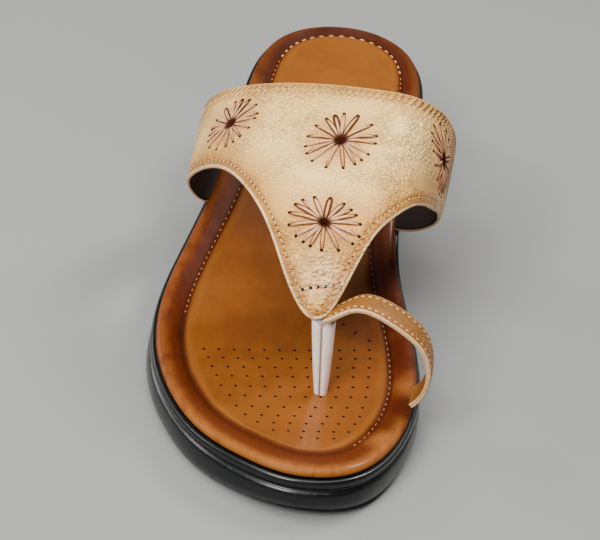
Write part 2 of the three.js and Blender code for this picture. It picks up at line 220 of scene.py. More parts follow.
def stripFaces(rows):  # between rows across, of which the first and last are single points
    faces = []
    for back, front in zip(rows[:-1], rows[1:]):
        for k in range(max(len(back), len(front)) - 1):
            corners = [back[min(k, len(back) - 1)], front[min(k, len(front) - 1)]]
            corners += [front[min(k + 1, len(front) - 1)], back[min(k + 1, len(back) - 1)]]
            faces.append(list(dict.fromkeys(int(corner) for corner in corners)))
    return faces


def capFaces(ringStart):  # straight across a ring
    return stripFaces([[a] if a == b else [a, b] for a, b in zip(*acrossRows(ringStart))])


# node trees: a socket that plain arithmetic works on, and one way to add any node

class Wire:
    def __init__(self, bench, socket):
        self.bench = bench
        self.socket = socket

    def math(self, operation, *values):
        return self.bench.add("ShaderNodeMath", {"operation": operation}, dict(enumerate(values)))

    def __add__(self, other):
        return self.math("ADD", self, other)

    def __radd__(self, other):
        return self.math("ADD", other, self)

    def __sub__(self, other):
        return self.math("SUBTRACT", self, other)

    def __rsub__(self, other):
        return self.math("SUBTRACT", other, self)

    def __mul__(self, other):
        return self.math("MULTIPLY", self, other)

    def __rmul__(self, other):
        return self.math("MULTIPLY", other, self)

    def sine(self):
        return self.math("SINE", self)


class Bench:
    def __init__(self, tree):
        self.tree = tree

    def add(self, kind, settings=None, sockets=None, output=0):
        node = self.tree.nodes.new(kind)
        for label, value in (settings or {}).items():
            setattr(node, label, value)
        for label, value in (sockets or {}).items():
            if isinstance(value, Wire):
                self.tree.links.new(value.socket, node.inputs[label])
            else:
                node.inputs[label].default_value = value
        return Wire(self, node.outputs[output])


class Finish(Bench):  # a material around one Principled shader
    def __init__(self, name, constants):
        self.material = bpy.data.materials.new(name)
        self.material.use_nodes = True
        super().__init__(self.material.node_tree)
        self.shader = self.tree.nodes["Principled BSDF"]
        for label, value in constants.items():
            self.shader.inputs[label].default_value = value
        self.spot = self.add("ShaderNodeTexCoord", output=3)

    def feed(self, label, wire):
        self.tree.links.new(wire.socket, self.shader.inputs[label])

    def marks(self, *labels):
        return [self.add("ShaderNodeAttribute", {"attribute_name": label}, output=2) for label in labels]

    def noise(self, size, detail=2, roughness=0.5, at=None, output=0):
        sockets = {"Vector": at or self.spot, "Scale": 1 / (size * mm)}
        sockets |= {"Detail": detail, "Roughness": roughness}
        return self.add("ShaderNodeTexNoise", None, sockets, output)

    def cells(self, size, feature, at):
        sockets = {"Vector": at, "Scale": 1 / (size * mm)}
        return self.add("ShaderNodeTexVoronoi", {"feature": feature}, sockets)

    def stretched(self, *scale):
        return self.add("ShaderNodeMapping", None, {"Vector": self.spot, "Scale": scale})

    def vectors(self, operation, sockets):
        return self.add("ShaderNodeVectorMath", {"operation": operation}, sockets)

    def warped(self, size, amount, at=None):
        at = at or self.spot
        drift = self.vectors("SUBTRACT", {0: self.noise(size, at=at, output=1), 1: (0.5, 0.5, 0.5)})
        return self.vectors("ADD", {0: at, 1: self.vectors("SCALE", {0: drift, "Scale": amount * mm})})

    def ramp(self, value, low, high):  # 0 at low, 1 at high
        sockets = {0: value, 1: low, 2: high, 3: 0.0, 4: 1.0}
        return self.add("ShaderNodeMapRange", {"interpolation_type": "SMOOTHSTEP"}, sockets)

    def coloured(self, colour, *coats):  # each coat is a mask and its colour
        for mask, coat in coats:
            colour = self.add("ShaderNodeMix", {"data_type": "RGBA"}, {0: mask, 6: colour, 7: coat}, 2)
        self.feed("Base Color", colour)

    def relief(self, height, depth):
        sockets = {"Height": height, "Distance": depth * mm, "Strength": 1.0}
        self.feed("Normal", self.add("ShaderNodeBump", None, sockets))


def tone(*parts):  # a colour as seen, from 0 to 255
    def light(part):
        share = part / 255
        return share / 12.92 if share <= 0.04045 else ((share + 0.055) / 1.055) ** 2.4
    return (*map(light, parts), 1.0)


class Recipe(Bench):  # a geometry tree with named sizes
    kinds = {
        "Geometry": "NodeSocketGeometry",
        "Finish": "NodeSocketMaterial",
        "Cutters": "NodeSocketObject",
    }

    def __init__(self, name, *labels):
        super().__init__(bpy.data.node_groups.new(name, "GeometryNodeTree"))
        for label in ("Geometry", *labels, "Finish"):
            kind = self.kinds.get(label, "NodeSocketFloat")
            self.tree.interface.new_socket(label, in_out="INPUT", socket_type=kind)
        self.tree.interface.new_socket("Geometry", in_out="OUTPUT", socket_type="NodeSocketGeometry")
        self.group = self.tree.nodes.new("NodeGroupInput")

    def given(self, label):
        return Wire(self, self.group.outputs[label])

    def vector(self, across, ahead, up):
        return self.add("ShaderNodeCombineXYZ", None, {0: across, 1: ahead, 2: up})

    def named(self, label, kind="FLOAT"):
        return self.add("GeometryNodeInputNamedAttribute", {"data_type": kind}, {"Name": label})

    def stored(self, geometry, label, value, domain):
        settings = {"data_type": "FLOAT", "domain": domain}
        sockets = {"Geometry": geometry, "Name": label, "Value": value}
        return self.add("GeometryNodeStoreNamedAttribute", settings, sockets)

    def line(self):
        return self.add("GeometryNodeMeshToCurve", None, {"Mesh": self.given("Geometry")})

    def spaced(self, line):  # points a pitch apart
        sockets = {"Curve": line, "Length": self.given("Pitch")}
        return self.add("GeometryNodeResampleCurve", {"mode": "LENGTH"}, sockets)

    def facing(self, ahead=(1, 0.1, 0.05)):  # up is the way out of the surface
        axes = {"primary_axis": "Z", "secondary_axis": "X"}
        sockets = {0: self.named("over", "FLOAT_VECTOR"), 1: ahead}
        return self.add("FunctionNodeAxesToRotation", axes, sockets)

    def circle(self, sides, radius):
        sockets = {"Resolution": sides, "Radius": radius}
        return self.add("GeometryNodeCurvePrimitiveCircle", {"mode": "RADIUS"}, sockets)

    def swept(self, line, section, scale):
        sockets = {"Curve": line, "Profile Curve": section, "Scale": scale, "Fill Caps": True}
        return self.smooth(self.add("GeometryNodeCurveToMesh", None, sockets))

    def onPoints(self, points, instance, facing):
        sockets = {"Points": points, "Instance": instance, "Rotation": facing}
        return self.add("GeometryNodeInstanceOnPoints", None, sockets)

    def smooth(self, geometry, state=True, domain="FACE", **chosen):
        sockets = {"Geometry": geometry, "Shade Smooth": state, **chosen}
        return self.add("GeometryNodeSetShadeSmooth", {"domain": domain}, sockets)

    def realised(self, geometry):
        return self.add("GeometryNodeRealizeInstances", None, {"Geometry": geometry})

    def close(self, geometry, **chosen):
        sockets = {"Geometry": self.realised(geometry), "Material": self.given("Finish"), **chosen}
        painted = self.add("GeometryNodeSetMaterial", None, sockets)
        self.tree.links.new(painted.socket, self.tree.nodes.new("NodeGroupOutput").inputs[0])
        return self.tree


def inMetres(sizes, **others):
    return {**{label: size * mm for label, size in sizes.items()}, **others}


def grown(name, guide, recipe, sizes):  # the tree's result as a plain mesh; the guide goes
    modifier = guide.modifiers.new(recipe.name, "NODES")
    modifier.node_group = recipe
    for item in recipe.interface.items_tree:
        if item.in_out == "INPUT" and item.name in sizes:
            modifier[item.identifier] = sizes[item.name]
    made = guide.evaluated_get(bpy.context.evaluated_depsgraph_get())
    mesh = bpy.data.meshes.new_from_object(made)
    bpy.data.objects.remove(guide)
    return linked(name, mesh)


def guideOf(runs, marks=None):  # runs of places on a surface, with the way out of it at each
    points, over = (np.concatenate(parts) for parts in zip(*runs))
    ends = set(np.cumsum([len(spots) for spots, _ in runs]) - 1)
    edges = [(k, k + 1) for k in range(len(points) - 1) if k not in ends]
    mesh = bpy.data.meshes.new("guide")
    mesh.from_pydata((points * mm).tolist(), edges, [])
    marked(mesh, "over", over, "FLOAT_VECTOR", "vector")
    for label, values in (marks or {}).items():
        marked(mesh, label, values)
    return linked("guide", mesh)


def laid(name, slot, recipe, runs, sizes, finish, marks=None, **others):
    guide = guideOf(runs, marks)
    settled(grown(name, guide, recipe, inMetres(sizes, Finish=finish, **others)), slot)


# what follows a path: stitches, needle holes, threads, punched holes

def stitchRecipe():
    recipe = Recipe("stitchRun", "Pitch", "Length", "Thickness", "Rise", "Slant")
    places = recipe.spaced(recipe.line())
    lean = {"Axis": (0, 0, 1), "Angle": recipe.given("Slant")}
    lean = recipe.add("FunctionNodeAxisAngleToRotation", None, lean)
    facing = recipe.facing(recipe.add("GeometryNodeInputTangent"))
    facing = recipe.add("FunctionNodeRotateRotation", {"rotation_space": "LOCAL"}, {0: facing, 1: lean})
    half = recipe.given("Length") * 0.5
    dip = recipe.given("Thickness") * -0.45
    bow = {
        "Resolution": 6,
        "Start": recipe.vector(0 - half, 0.0, dip),
        "Middle": recipe.vector(0.0, 0.0, recipe.given("Rise") * 2),
        "End": recipe.vector(half, 0.0, dip),
    }
    bow = recipe.add("GeometryNodeCurveQuadraticBezier", None, bow)
    way = recipe.add("GeometryNodeSplineParameter") * 2 - 1
    stitch = recipe.swept(bow, recipe.circle(6, recipe.given("Thickness") * 0.5), 1 - 0.5 * way * way)
    return recipe.close(recipe.onPoints(places, stitch, facing))


def needleHoles(recipe, places):  # shallow dark cones on the surface, painted shade of the needle holes
    cone = {"Vertices": 10, "Radius Top": 0.0}
    cone |= {"Radius Bottom": recipe.given("Radius"), "Depth": recipe.given("Height")}
    dot = recipe.smooth(recipe.add("GeometryNodeMeshCone", None, cone))
    return recipe.close(recipe.onPoints(places, dot, recipe.facing()))


def needleRowRecipe():
    recipe = Recipe("needleRow", "Pitch", "Radius", "Height")
    past = 10.0  # beyond the end of any run
    trim = {0: recipe.line(), 4: recipe.given("Pitch") * 0.5, 5: past}
    return needleHoles(recipe, recipe.spaced(recipe.add("GeometryNodeTrimCurve", {"mode": "LENGTH"}, trim)))


def needleSpotRecipe():
    recipe = Recipe("needleSpots", "Radius", "Height")
    return needleHoles(recipe, recipe.given("Geometry"))


def stripRecipe():  # a flat strip that lies on the surface
    recipe = Recipe("surfaceStrip", "Width", "Thickness")
    sockets = {"Curve": recipe.line(), "Normal": recipe.named("over", "FLOAT_VECTOR")}
    line = recipe.add("GeometryNodeSetCurveNormal", {"mode": "FREE"}, sockets)
    flat = recipe.vector(recipe.given("Thickness"), recipe.given("Width"), 1.0)
    sockets = {"Geometry": recipe.circle(8, 0.5), "Scale": flat}
    section = recipe.add("GeometryNodeTransform", None, sockets)
    return recipe.close(recipe.swept(line, section, recipe.named("taper")))


def punchRecipe(labels):  # labels: marks that the cut rims take from the surface
    recipe = Recipe("punch", "Cutters", "Radius", "Depth")
    places = recipe.add("GeometryNodeObjectInfo", None, {"Object": recipe.given("Cutters")}, 4)
    drill = {"Vertices": 16, "Radius": recipe.given("Radius"), "Depth": recipe.given("Depth")}
    drill = recipe.smooth(recipe.add("GeometryNodeMeshCylinder", None, drill), False)
    drill = recipe.stored(drill, "pit", 1.0, "FACE")
    drills = recipe.realised(recipe.onPoints(places, drill, recipe.facing()))
    sockets = {"Mesh 1": recipe.given("Geometry"), "Mesh 2": drills}
    settings = {"operation": "DIFFERENCE", "solver": "MANIFOLD"}
    made = recipe.realised(recipe.add("GeometryNodeMeshBoolean", settings, sockets))
    for label in labels:
        sockets = {"Mesh": recipe.given("Geometry"), "Value": recipe.named(label)}
        value = recipe.add("GeometryNodeSampleNearestSurface", {"data_type": "FLOAT"}, sockets)
        made = recipe.stored(made, label, value, "POINT")
    pit = recipe.named("pit")
    return recipe.close(recipe.smooth(made, False, "EDGE", Selection=pit), Selection=pit)


stitchRun = stitchRecipe()
needleRow = needleRowRecipe()
needleSpots = needleSpotRecipe()
surfaceStrip = stripRecipe()


def punched(piece, marks, sizes):  # marks: places and the way out of the surface
    name = piece.name
    labels = [layer.name for layer in piece.data.attributes if layer.data_type == "FLOAT"]
    piece.name = name + "Uncut"
    drills = guideOf([(spot[None], over[None]) for spot, over in zip(*marks)])
    cut = grown(name, piece, punchRecipe(labels), inMetres(sizes, Cutters=drills, Finish=holeShade))
    bpy.data.objects.remove(drills)
    return cut


# finishes

def strapLeatherFinish():
    cream, champagne, biscuit = tone(255, 219, 143), tone(248, 190, 100), tone(230, 170, 92)
    golden, ochre, bronze = tone(204, 140, 52), tone(144, 80, 14), tone(112, 68, 20)
    umber, creviceShade, blush = tone(62, 22, 8), tone(146, 96, 42), tone(186, 116, 62)
    rose, paintedGlint = tone(252, 192, 132), tone(255, 230, 192)
    olive, pale = tone(124, 80, 32), tone(244, 208, 154)
    leather = Finish("strapLeather", {"IOR": 1.45, "Specular IOR Level": 0.25, "Coat Roughness": 0.25})
    ramp = leather.ramp
    edgeNear, rearNear, frontNear = leather.marks("edgeNear", "rearNear", "frontNear")
    flowerNear, rearRun = leather.marks("flowerNear", "rearRun")
    foil, grain, aged = leather.marks("foil", "grain", "aged")
    fine = leather.noise(0.35, 3)
    crackle = leather.noise(1.4, 4, 0.65)
    patches = leather.noise(14, 3)
    pebbled = grain * ramp(leather.noise(9), 0.2, 0.65)
    drifted = leather.warped(1.7, 1.5, leather.stretched(0.8, 1.1, 1))
    pebbles = leather.cells(1.75, "DISTANCE_TO_EDGE", drifted)
    gaps = ramp(pebbles, 0.15, 0.0) * pebbled * ramp(crackle, 0.3, 0.56)
    domes = ramp(pebbles, 0.0, 0.45) * pebbled
    window = ramp(rearNear, 0.4, 1.6) * ramp(rearNear, 7, 3.8)
    pucker = ((rearRun + 0.7 * rearNear) * (2 * math.pi / strapStitch["Pitch"])).sine() * window
    troughShade = ramp(frontNear, 1.4, 2.4) * ramp(frontNear, 3.9, 2.9)
    aged = ramp(aged + 0.5 * patches, 0.35, 0.95)
    leather.coloured(
        cream,
        (ramp(patches, 0.35, 0.68) * 0.5, champagne),
        (ramp(flowerNear + 8 * patches, 23, 13) * 0.6, biscuit),
        (ramp(edgeNear + 9 * patches, 23, 6) * 0.8, golden),
        (ramp(edgeNear + 5 * patches, 8.5, 2) * 0.7, ochre),
        (aged * (0.5 + 0.6 * crackle), bronze),
        # painted shade in the crevices between the pebbles
        (gaps * 0.85, creviceShade),
        (ramp(foil + 0.35 * fine, 0.35, 0.95) * 0.75, rose),
        (foil * ramp(crackle, 0.47, 0.38) * 0.85, olive),
        # painted glints on the foil
        (foil * ramp(crackle, 0.53, 0.63), paintedGlint),
        # painted shade in the pucker valleys by the rear stitches and in the trough along the front stitches
        (ramp(pucker, -0.1, -0.9) * 0.55 + troughShade * 0.4, ochre),
        (ramp(flowerNear + 5 * crackle, 13, 6) * 0.55, blush),
        # painted shade round each flower's hole, where the strips dive in
        (ramp(flowerNear + 1.2 * fine, 4.9, 3.1), umber),
        (ramp(frontNear, 1.1, 0.6) * 0.9, pale),
    )
    leather.feed("Metallic", 0.22 + 0.15 * foil - 0.15 * aged)
    leather.feed("Roughness", 0.38 - 0.14 * foil + 0.12 * gaps + 0.12 * aged)
    leather.feed("Coat Weight", 0.05 + 0.2 * foil)
    leather.relief(0.12 * fine + domes + 0.7 * pucker + (0.5 * pebbled + 1.2 * foil) * crackle, 0.62)
    return leather.material


def cutEdgeFinish():
    edge = Finish("cutEdge", {"Roughness": 0.55, "IOR": 1.45})
    fibres = edge.noise(0.9, 4, at=edge.stretched(1, 1, 3))
    shade = (edge.ramp(fibres, 0.35, 0.75), tone(190, 142, 90))
    edge.coloured(tone(236, 198, 150), shade)
    edge.relief(fibres, 0.08)
    return edge.material


def liningFinish():
    suede = Finish("lining", {"IOR": 1.4, "Specular IOR Level": 0.25})
    nap = suede.noise(0.5, 4, 0.65)
    warm = (suede.ramp(nap, 0.3, 0.75), tone(38, 18, 12))
    suede.coloured(tone(18, 8, 6), warm)
    suede.feed("Roughness", 0.62 + 0.2 * nap)
    suede.relief(nap, 0.06)
    return suede.material


def footbedFinish():
    caramel, amber, honey, tan = tone(107, 56, 14), tone(124, 68, 19), tone(138, 85, 24), tone(164, 102, 44)
    russet, maroon, umber = tone(94, 38, 8), tone(74, 23, 4), tone(38, 13, 3)
    constants = {"IOR": 1.46, "Specular IOR Level": 0.1, "Coat IOR": 1.55, "Coat Roughness": 0.17}
    leather = Finish("footbedLeather", constants)
    ramp = leather.ramp
    rimShare, channel, front, heel = leather.marks("rimShare", "channel", "front", "heel")
    burnt, rubbed = leather.marks("burnt", "rubbed")
    clouds = leather.noise(26, 4, 0.6)
    smudges = leather.noise(9, 4, 0.65, leather.stretched(1, 0.5, 1))
    streaks = leather.noise(3.5, 4, at=leather.stretched(1, 0.25, 1))
    grain = leather.cells(0.65, "SMOOTH_F1", leather.warped(1.2, 0.5))
    rim = ramp(rimShare, 1.2, 0.95)
    outerHighlight = ramp(rimShare + 0.5 * smudges, 0.9, 0.35)
    slopeBurnishAndShade = ramp(rimShare + 0.4 * smudges + 0.3 * front, 0.55, 0.95)
    slopeBurnishAndShade = slopeBurnishAndShade * ramp(rimShare + 0.35 * smudges, 1.5, 1.2)
    lipHighlight = ramp(rimShare, 1.15, 1.3) * ramp(rimShare + 0.3 * smudges, 1.7, 1.4)
    leather.coloured(
        caramel,
        (ramp(clouds + 0.25 * streaks, 0.45, 0.78), amber),
        (heel * 0.3 + front * 0.2, honey),
        (rim * (1 - 0.6 * front) * (0.65 + 0.5 * clouds), russet),
        # painted highlight along the rim's outer edge, strongest at the front
        (outerHighlight * (0.2 + 0.2 * front), tan),
        # burnish and painted shade on the rim's inner slope
        (slopeBurnishAndShade * (0.56 + 0.2 * front), maroon),
        # painted highlight along the raised edge of the field
        (lipHighlight * (0.32 + 0.2 * front), tan),
        # lighter patches on the medial rim and field edge: wear and painted highlight
        (ramp(rubbed + 0.5 * smudges, 0.4, 1.0) * 0.6, tan),
        (rim * ramp(streaks, 0.5, 0.66) * 0.4, russet),
        # dark burnish on the medial rim and painted shade under the strap and the loop
        (ramp(burnt + 0.5 * smudges, 0.45, 0.95) * 0.8, maroon),
        (rim * heel * 0.45, umber),
        (rim * ramp(smudges, 0.5, 0.68) * (1 - front) * 0.4, umber),
        (ramp(channel + 0.3 * clouds, 0.15, 0.95) * (0.66 - 0.22 * front), umber),
    )
    leather.feed("Roughness", 0.42 + 0.12 * clouds + 0.08 * streaks)
    dull = ramp(rimShare, 0.4, 0.65) * ramp(rimShare, 1.6, 1.3)
    gloss = (1 - dull) * (1 - 0.6 * rim) * ramp(rimShare, -0.1, 0.3)
    leather.feed("Coat Weight", (0.75 - 0.4 * clouds) * gloss)
    leather.relief(0.4 * streaks - 0.5 * grain + rim * (2.5 * smudges + streaks), 0.045)
    return leather.material


def soleFinish():
    black, bloom, scuffAndSheen = tone(4, 6, 6), tone(9, 14, 13), tone(110, 116, 112)
    rubber = Finish("soleUnit", {"IOR": 1.46, "Specular IOR Level": 0.2, "Coat Roughness": 0.24})
    [ridge] = rubber.marks("ridge")
    clouds = rubber.noise(18, 4, 0.6)
    fine = rubber.noise(0.5, 3, 0.6)
    grain = rubber.cells(1.1, "SMOOTH_F1", rubber.warped(1.5, 0.7))
    wear = rubber.noise(1.6, 4, at=rubber.stretched(1, 0.3, 1))
    # pale scuffs and painted highlight along the ridges of the groove
    rubbed = rubber.ramp(ridge * (0.35 + wear), 0.62, 1.0)
    dusty = (rubber.ramp(clouds, 0.4, 0.8), bloom)
    rubber.coloured(black, dusty, (rubbed * 0.6, scuffAndSheen))
    rubber.feed("Roughness", 0.3 + 0.14 * clouds + 0.2 * rubbed)
    rubber.feed("Coat Weight", 0.85 - 0.4 * clouds)
    rubber.relief(0.6 * fine - 0.35 * grain + 0.4 * clouds, 0.16)
    return rubber.material


def postFinish():
    pearl, lilac, paintedSeamShade = tone(255, 244, 232), tone(252, 220, 204), tone(104, 66, 52)
    strip = Finish("postStrip", {"IOR": 1.5, "Coat Weight": 0.5, "Coat Roughness": 0.2})
    [seam] = strip.marks("seam")
    folds = strip.noise(1.6, 3, at=strip.stretched(1, 1, 0.15))
    # painted shade down the seam
    strip.coloured(pearl, (strip.ramp(folds, 0.35, 0.7), lilac), (seam, paintedSeamShade))
    strip.feed("Roughness", 0.3 + 0.15 * folds)
    strip.relief(folds, 0.12)
    return strip.material


def threadFinish(name, light, dark, paintedShade, gloss):  # the deepest colour is painted shade, where the thread goes into a hole and on the darker petals and outlines
    thread = Finish(name, {"IOR": 1.45, "Specular IOR Level": 0.5 * gloss})
    [shade] = thread.marks("shade")
    plies = thread.noise(0.4, 3, at=thread.stretched(1, 1.6, 1.6))
    thread.coloured(light, (thread.ramp(plies, 0.35, 0.7), dark), (shade, paintedShade))
    thread.feed("Roughness", 0.7 - 0.4 * gloss + 0.15 * plies + 0.3 * shade)
    thread.relief(plies, 0.06)
    return thread.material


def mottledFinish(name, constants, size, first, second, roughness):
    finish = Finish(name, constants)
    mottle = finish.noise(size)
    finish.coloured(first, (mottle, second))
    finish.feed("Roughness", roughness + 0.1 * mottle)
    return finish.material


# painted shade inside the needle holes and on the walls of punched holes
holeShade = mottledFinish("needleHole", {"IOR": 1.3}, 0.3, tone(20, 8, 4), tone(44, 22, 10), 0.8)


# sole: rounded bands down the side, a groove between them, an arch and a toe spring underneath

sole = {
    "heelBevel": 8,
    "heelRise": 1,
    "heelEnd": 57,
    "archTop": 95,
    "archRise": 9.2,
    "treadStart": 165,
    "treadEnd": 226,
    "toeSpring": 3.4,
    "rounding": 2,
}
soleProfile = [
    # distance outside the footbed's edge, level that it is measured from, rise over it, ridge with pale wear
    # and a painted highlight
    (-2.3, "edge", -2.5, 0),
    (-2, "edge", 0, 0),
    (0.9, "edge", 0, 0),
    (1.5, "edge", -0.5, 0),
    (1.8, "edge", -1.5, 0),
    (1.7, "groove", 1.3, 1),
    (0.8, "groove", 0.5, 0),
    (0.7, "groove", -0.4, 0),
    (1.5, "groove", -0.8, 1),
    (2.1, "groove", -1.9, 0),
    (2.5, "groove", -4.2, 0),
    (2.4, "underside", 3, 0),
    (1.6, "underside", 1.1, 0),
    (0.6, "underside", 0.3, 0),
    (-0.9, "underside", 0, 0),
    (-3, "underside", 0, 0),
]


def undersideHeight(along):
    heel = sole["heelRise"] * (1 - smoothStep(along, 0, sole["heelBevel"]))
    rising = smoothStep(along, sole["heelEnd"], sole["archTop"])
    falling = 1 - smoothStep(along, sole["archTop"], sole["treadStart"])
    past = np.maximum(0, along - sole["treadEnd"]) / (last["length"] - sole["treadEnd"])
    return heel + sole["archRise"] * rising * falling + sole["toeSpring"] * past ** 2


def solePiece(finish):
    levels = {"edge": edgeHeight, "groove": grooveHeight, "underside": undersideHeight}
    even = np.ones(len(ringAlongs))
    out = [even * reach for reach, _, _, _ in soleProfile]
    up = [levels[level](ringAlongs) + rise for _, level, rise, _ in soleProfile]
    ridge = [even * rubbed for _, _, _, rubbed in soleProfile]
    out, up, ridge = (cutCorners(rows, sole["rounding"]) for rows in (out, up, ridge))
    rings = besideEdge(ringSides, ringTurns, out, up)
    count, size = rings.shape[:2]
    faces = ringFaces(count, size) + [face[::-1] for face in capFaces(0)] + capFaces((count - 1) * size)
    return meshPiece("sole_unit", rings, faces, [finish], {"ridge": ridge})


settled(solePiece(soleFinish()), "sole_unit", "sole")


# footbed: a rounded rim, a stitched channel inside it and a slightly dished, punched field

footbed = {
    "dish": 0.4,
    "heelDish": 1.2,
    "heelDishEnd": 90,
    "fullWidth": 40,  # where the field is as wide as this, the dish has its whole depth
    "fieldStart": 10,  # from the footbed's edge, for the tones
    "heelTone": (20, 80),
    "frontTone": (185, 235),
    "columns": 46,
    "rounding": 2,
}
rimProfile = [
    # distance outside the footbed's edge, rise over the sole's edge
    (-2.6, -2.2),
    (-2.3, 0.3),
    (-0.5, 0.3),
    (0.1, 0.8),
    (0.1, 1.6),
    (-0.5, 2.35),
    (-1.6, 2.85),
    (-3, 3),
]
channelProfile = [
    # share of the rim's width, rise over the sole's edge
    (0.6, 2.55),
    (0.76, 1.85),
    (0.92, 1.05),
    (1.05, 0.8),
    (1.18, 1.2),
]
# dark patches: burnish on the medial rim, painted shade on the field under the strap and loop
burnishAndShadePatches = np.array([
    # across, along, reach, strength
    (40.3, 205, 6, 1),
    (38.2, 179, 6, 0.9),
    (37, 171, 6, 0.9),
    (33, 152, 9, 0.8),
    (29.5, 136, 10, 0.9),
    (24, 163, 16, 0.5),
    (-38, 196, 5, 0.5),
])
# lighter patches: wear and painted highlight
wearAndSheenPatches = np.array([
    # across, along, reach, strength
    (39.3, 193, 7, 0.5),
    (33.7, 167.5, 5, 0.35),
    (33.9, 225, 8, 0.6),
])
perforation = {"Radius": 0.52, "Depth": 2.6}
perforationSlant = -0.225  # the rows run back towards the medial side
perforationLine = [(16.6, 162.6), (21, 166.1), (26, 169.4), (10.6, 158), (5, 153.6)]
perforationRows = [
    # lateral end, medial end, distance of the medial end from the heel, holes
    (-28.2, 26.5, 174.4, 12),
    (-26.1, 27.1, 178.9, 12),
    (-24.3, 27.2, 183.8, 11),
    (-22.2, 27.4, 188.8, 11),
    (-20.1, 27.6, 194.4, 11),
    (-16.6, 27.5, 199.9, 10),
    (-13.8, 26.9, 206, 9),
    (-10.4, 26.4, 211.1, 8),
    (-6, 25.1, 215.7, 7),
    (-0.5, 23.5, 220.7, 6),
    (8.7, 19.1, 225.8, 3),
]


def patchesAt(centres, patches, spots):  # soft round patches; reach and strength are the last columns
    strongest = np.zeros(spots.shape[:-1])
    for centre, (reach, strength) in zip(centres, patches[:, -2:]):
        distance = np.linalg.norm(spots - centre, axis=-1)
        strongest = np.maximum(strongest, strength * hump(distance, reach))
    return strongest


def bedPatches(patches, points):
    return patchesAt(place(patches[:, 0], patches[:, 1], 0), patches, points * (1, 1, 0))


def footbedPiece(finish):
    edge, rim = edgeHeight(ringAlongs), rimWidth(ringAlongs)
    out = [0 * edge + reach for reach, _ in rimProfile] + [-share * rim for share, _ in channelProfile]
    up = [edge + rise for _, rise in rimProfile + channelProfile]
    out, up = (cutCorners(rows, footbed["rounding"]) for rows in (out, up))
    rings = besideEdge(ringSides, ringTurns, out, up)
    points = rings.reshape(-1, 3)
    faces = ringFaces(*rings.shape[:2]) + [face[::-1] for face in capFaces(0)]
    lateral, medial = acrossRows(len(points) - len(edge))
    share = np.arange(1, footbed["columns"] + 1) / (footbed["columns"] + 1)
    along = alongAt(np.arange(1, last["stations"]) / last["stations"])
    left, right = points[lateral[1:-1]], points[medial[1:-1]]
    width = np.abs(right[:, 0] - left[:, 0])
    dish = mixed(footbed["heelDish"], footbed["dish"], smoothStep(along, 0, footbed["heelDishEnd"]))
    dish = dish * smoothStep(width, 0, footbed["fullWidth"])  # it runs out towards both ends
    field = mixed(left[:, None], right[:, None], share[None, :, None])
    field[..., 2] -= dish[:, None] * 4 * share * (1 - share)
    numbers = len(points) + np.arange(len(left) * len(share)).reshape(len(left), -1)
    rows = [[a, *row, b] for a, row, b in zip(lateral[1:-1], numbers, medial[1:-1])]
    faces += stripFaces([[lateral[0]], *rows, [lateral[-1]]])
    points = np.concatenate([points, field.reshape(-1, 3)])
    inward = footbed["fieldStart"] + (width[:, None] * np.minimum(share, 1 - share)).ravel()
    rimShare = (-out / rim).ravel()
    fromHeel = last["length"] / 2 - points[:, 1]
    marks = {
        "rimShare": np.concatenate([rimShare, 0.18 + inward / footbed["fieldStart"]]),
        "channel": np.concatenate([hump(rimShare - 1.02, 0.13), hump(inward - 9, 3) * 0.6]),
        "burnt": bedPatches(burnishAndShadePatches, points),
        "rubbed": bedPatches(wearAndSheenPatches, points),
        "heel": 1 - smoothStep(fromHeel, *footbed["heelTone"]),
        "front": smoothStep(fromHeel, *footbed["frontTone"]),
    }
    surface = BVHTree.FromPolygons(points, faces)
    return meshPiece("footbed_cover", points, faces, [finish], marks), surface


def dropped(surface, across, along):  # places on a surface straight below
    overhead = 120
    spots, over = [], []
    for spot in place(across, along, overhead):
        hit, normal, _, _ = surface.ray_cast(Vector(spot), Vector((0, 0, -1)))
        spots.append(hit)
        over.append(normal if normal.z > 0 else -normal)
    return np.array(spots), np.array(over)


def perforationSpots():
    spots = []
    for lateral, medial, along, holes in perforationRows:
        for across in np.linspace(lateral, medial, holes):
            spots.append((across, along + perforationSlant * (across - medial)))
    return np.array(spots + perforationLine).T


footbedMesh, footbedSurface = footbedPiece(footbedFinish())
footbedMesh = punched(footbedMesh, dropped(footbedSurface, *perforationSpots()), perforation)
settled(footbedMesh, "footbed_leather", "footbed")

channelStitch = {"Pitch": 3, "Length": 1.3, "Thickness": 0.52, "Rise": 0.1}
heelStitch = {"Pitch": 3.9, "Length": 2.5, "Thickness": 0.9, "Rise": 0.1}
channelEnds = {"heel": 26, "sides": 31, "lateral": 168, "medial": 232}  # none show round the toes
channelLane = 1.03  # share of the rim's width


def channelRun(side, fromAlong, toAlong):
    steps = 120
    turns = np.linspace(turnAt(fromAlong), turnAt(toAlong), steps)
    lane = besideEdge(np.full(len(turns), side), turns, -channelLane * rimWidth(alongAt(turns)), 0)
    return dropped(footbedSurface, lane[:, 0] - last["centring"], last["length"] / 2 - lane[:, 1])


channelThread = threadFinish("channelThread", tone(204, 120, 62), tone(160, 76, 24), tone(60, 24, 8), 0.4)
heelThread = threadFinish("heelThread", tone(218, 152, 104), tone(176, 100, 52), tone(60, 24, 8), 0.6)
lateralRun = channelRun(-1, channelEnds["sides"], channelEnds["lateral"])
medialRun = channelRun(1, channelEnds["sides"], channelEnds["medial"])
heelHalves = [channelRun(side, 0, channelEnds["heel"]) for side in (-1, 1)]
heelRun = [np.concatenate([part[::-1], other[1:]]) for part, other in zip(*heelHalves)]
laid("channel_stitches", "thread", stitchRun, [lateralRun, medialRun], channelStitch, channelThread)
laid("heel_stitches", "thread", stitchRun, [heelRun], heelStitch, heelThread)


# strap over the instep: sections from the rear edge to the tip between the toes

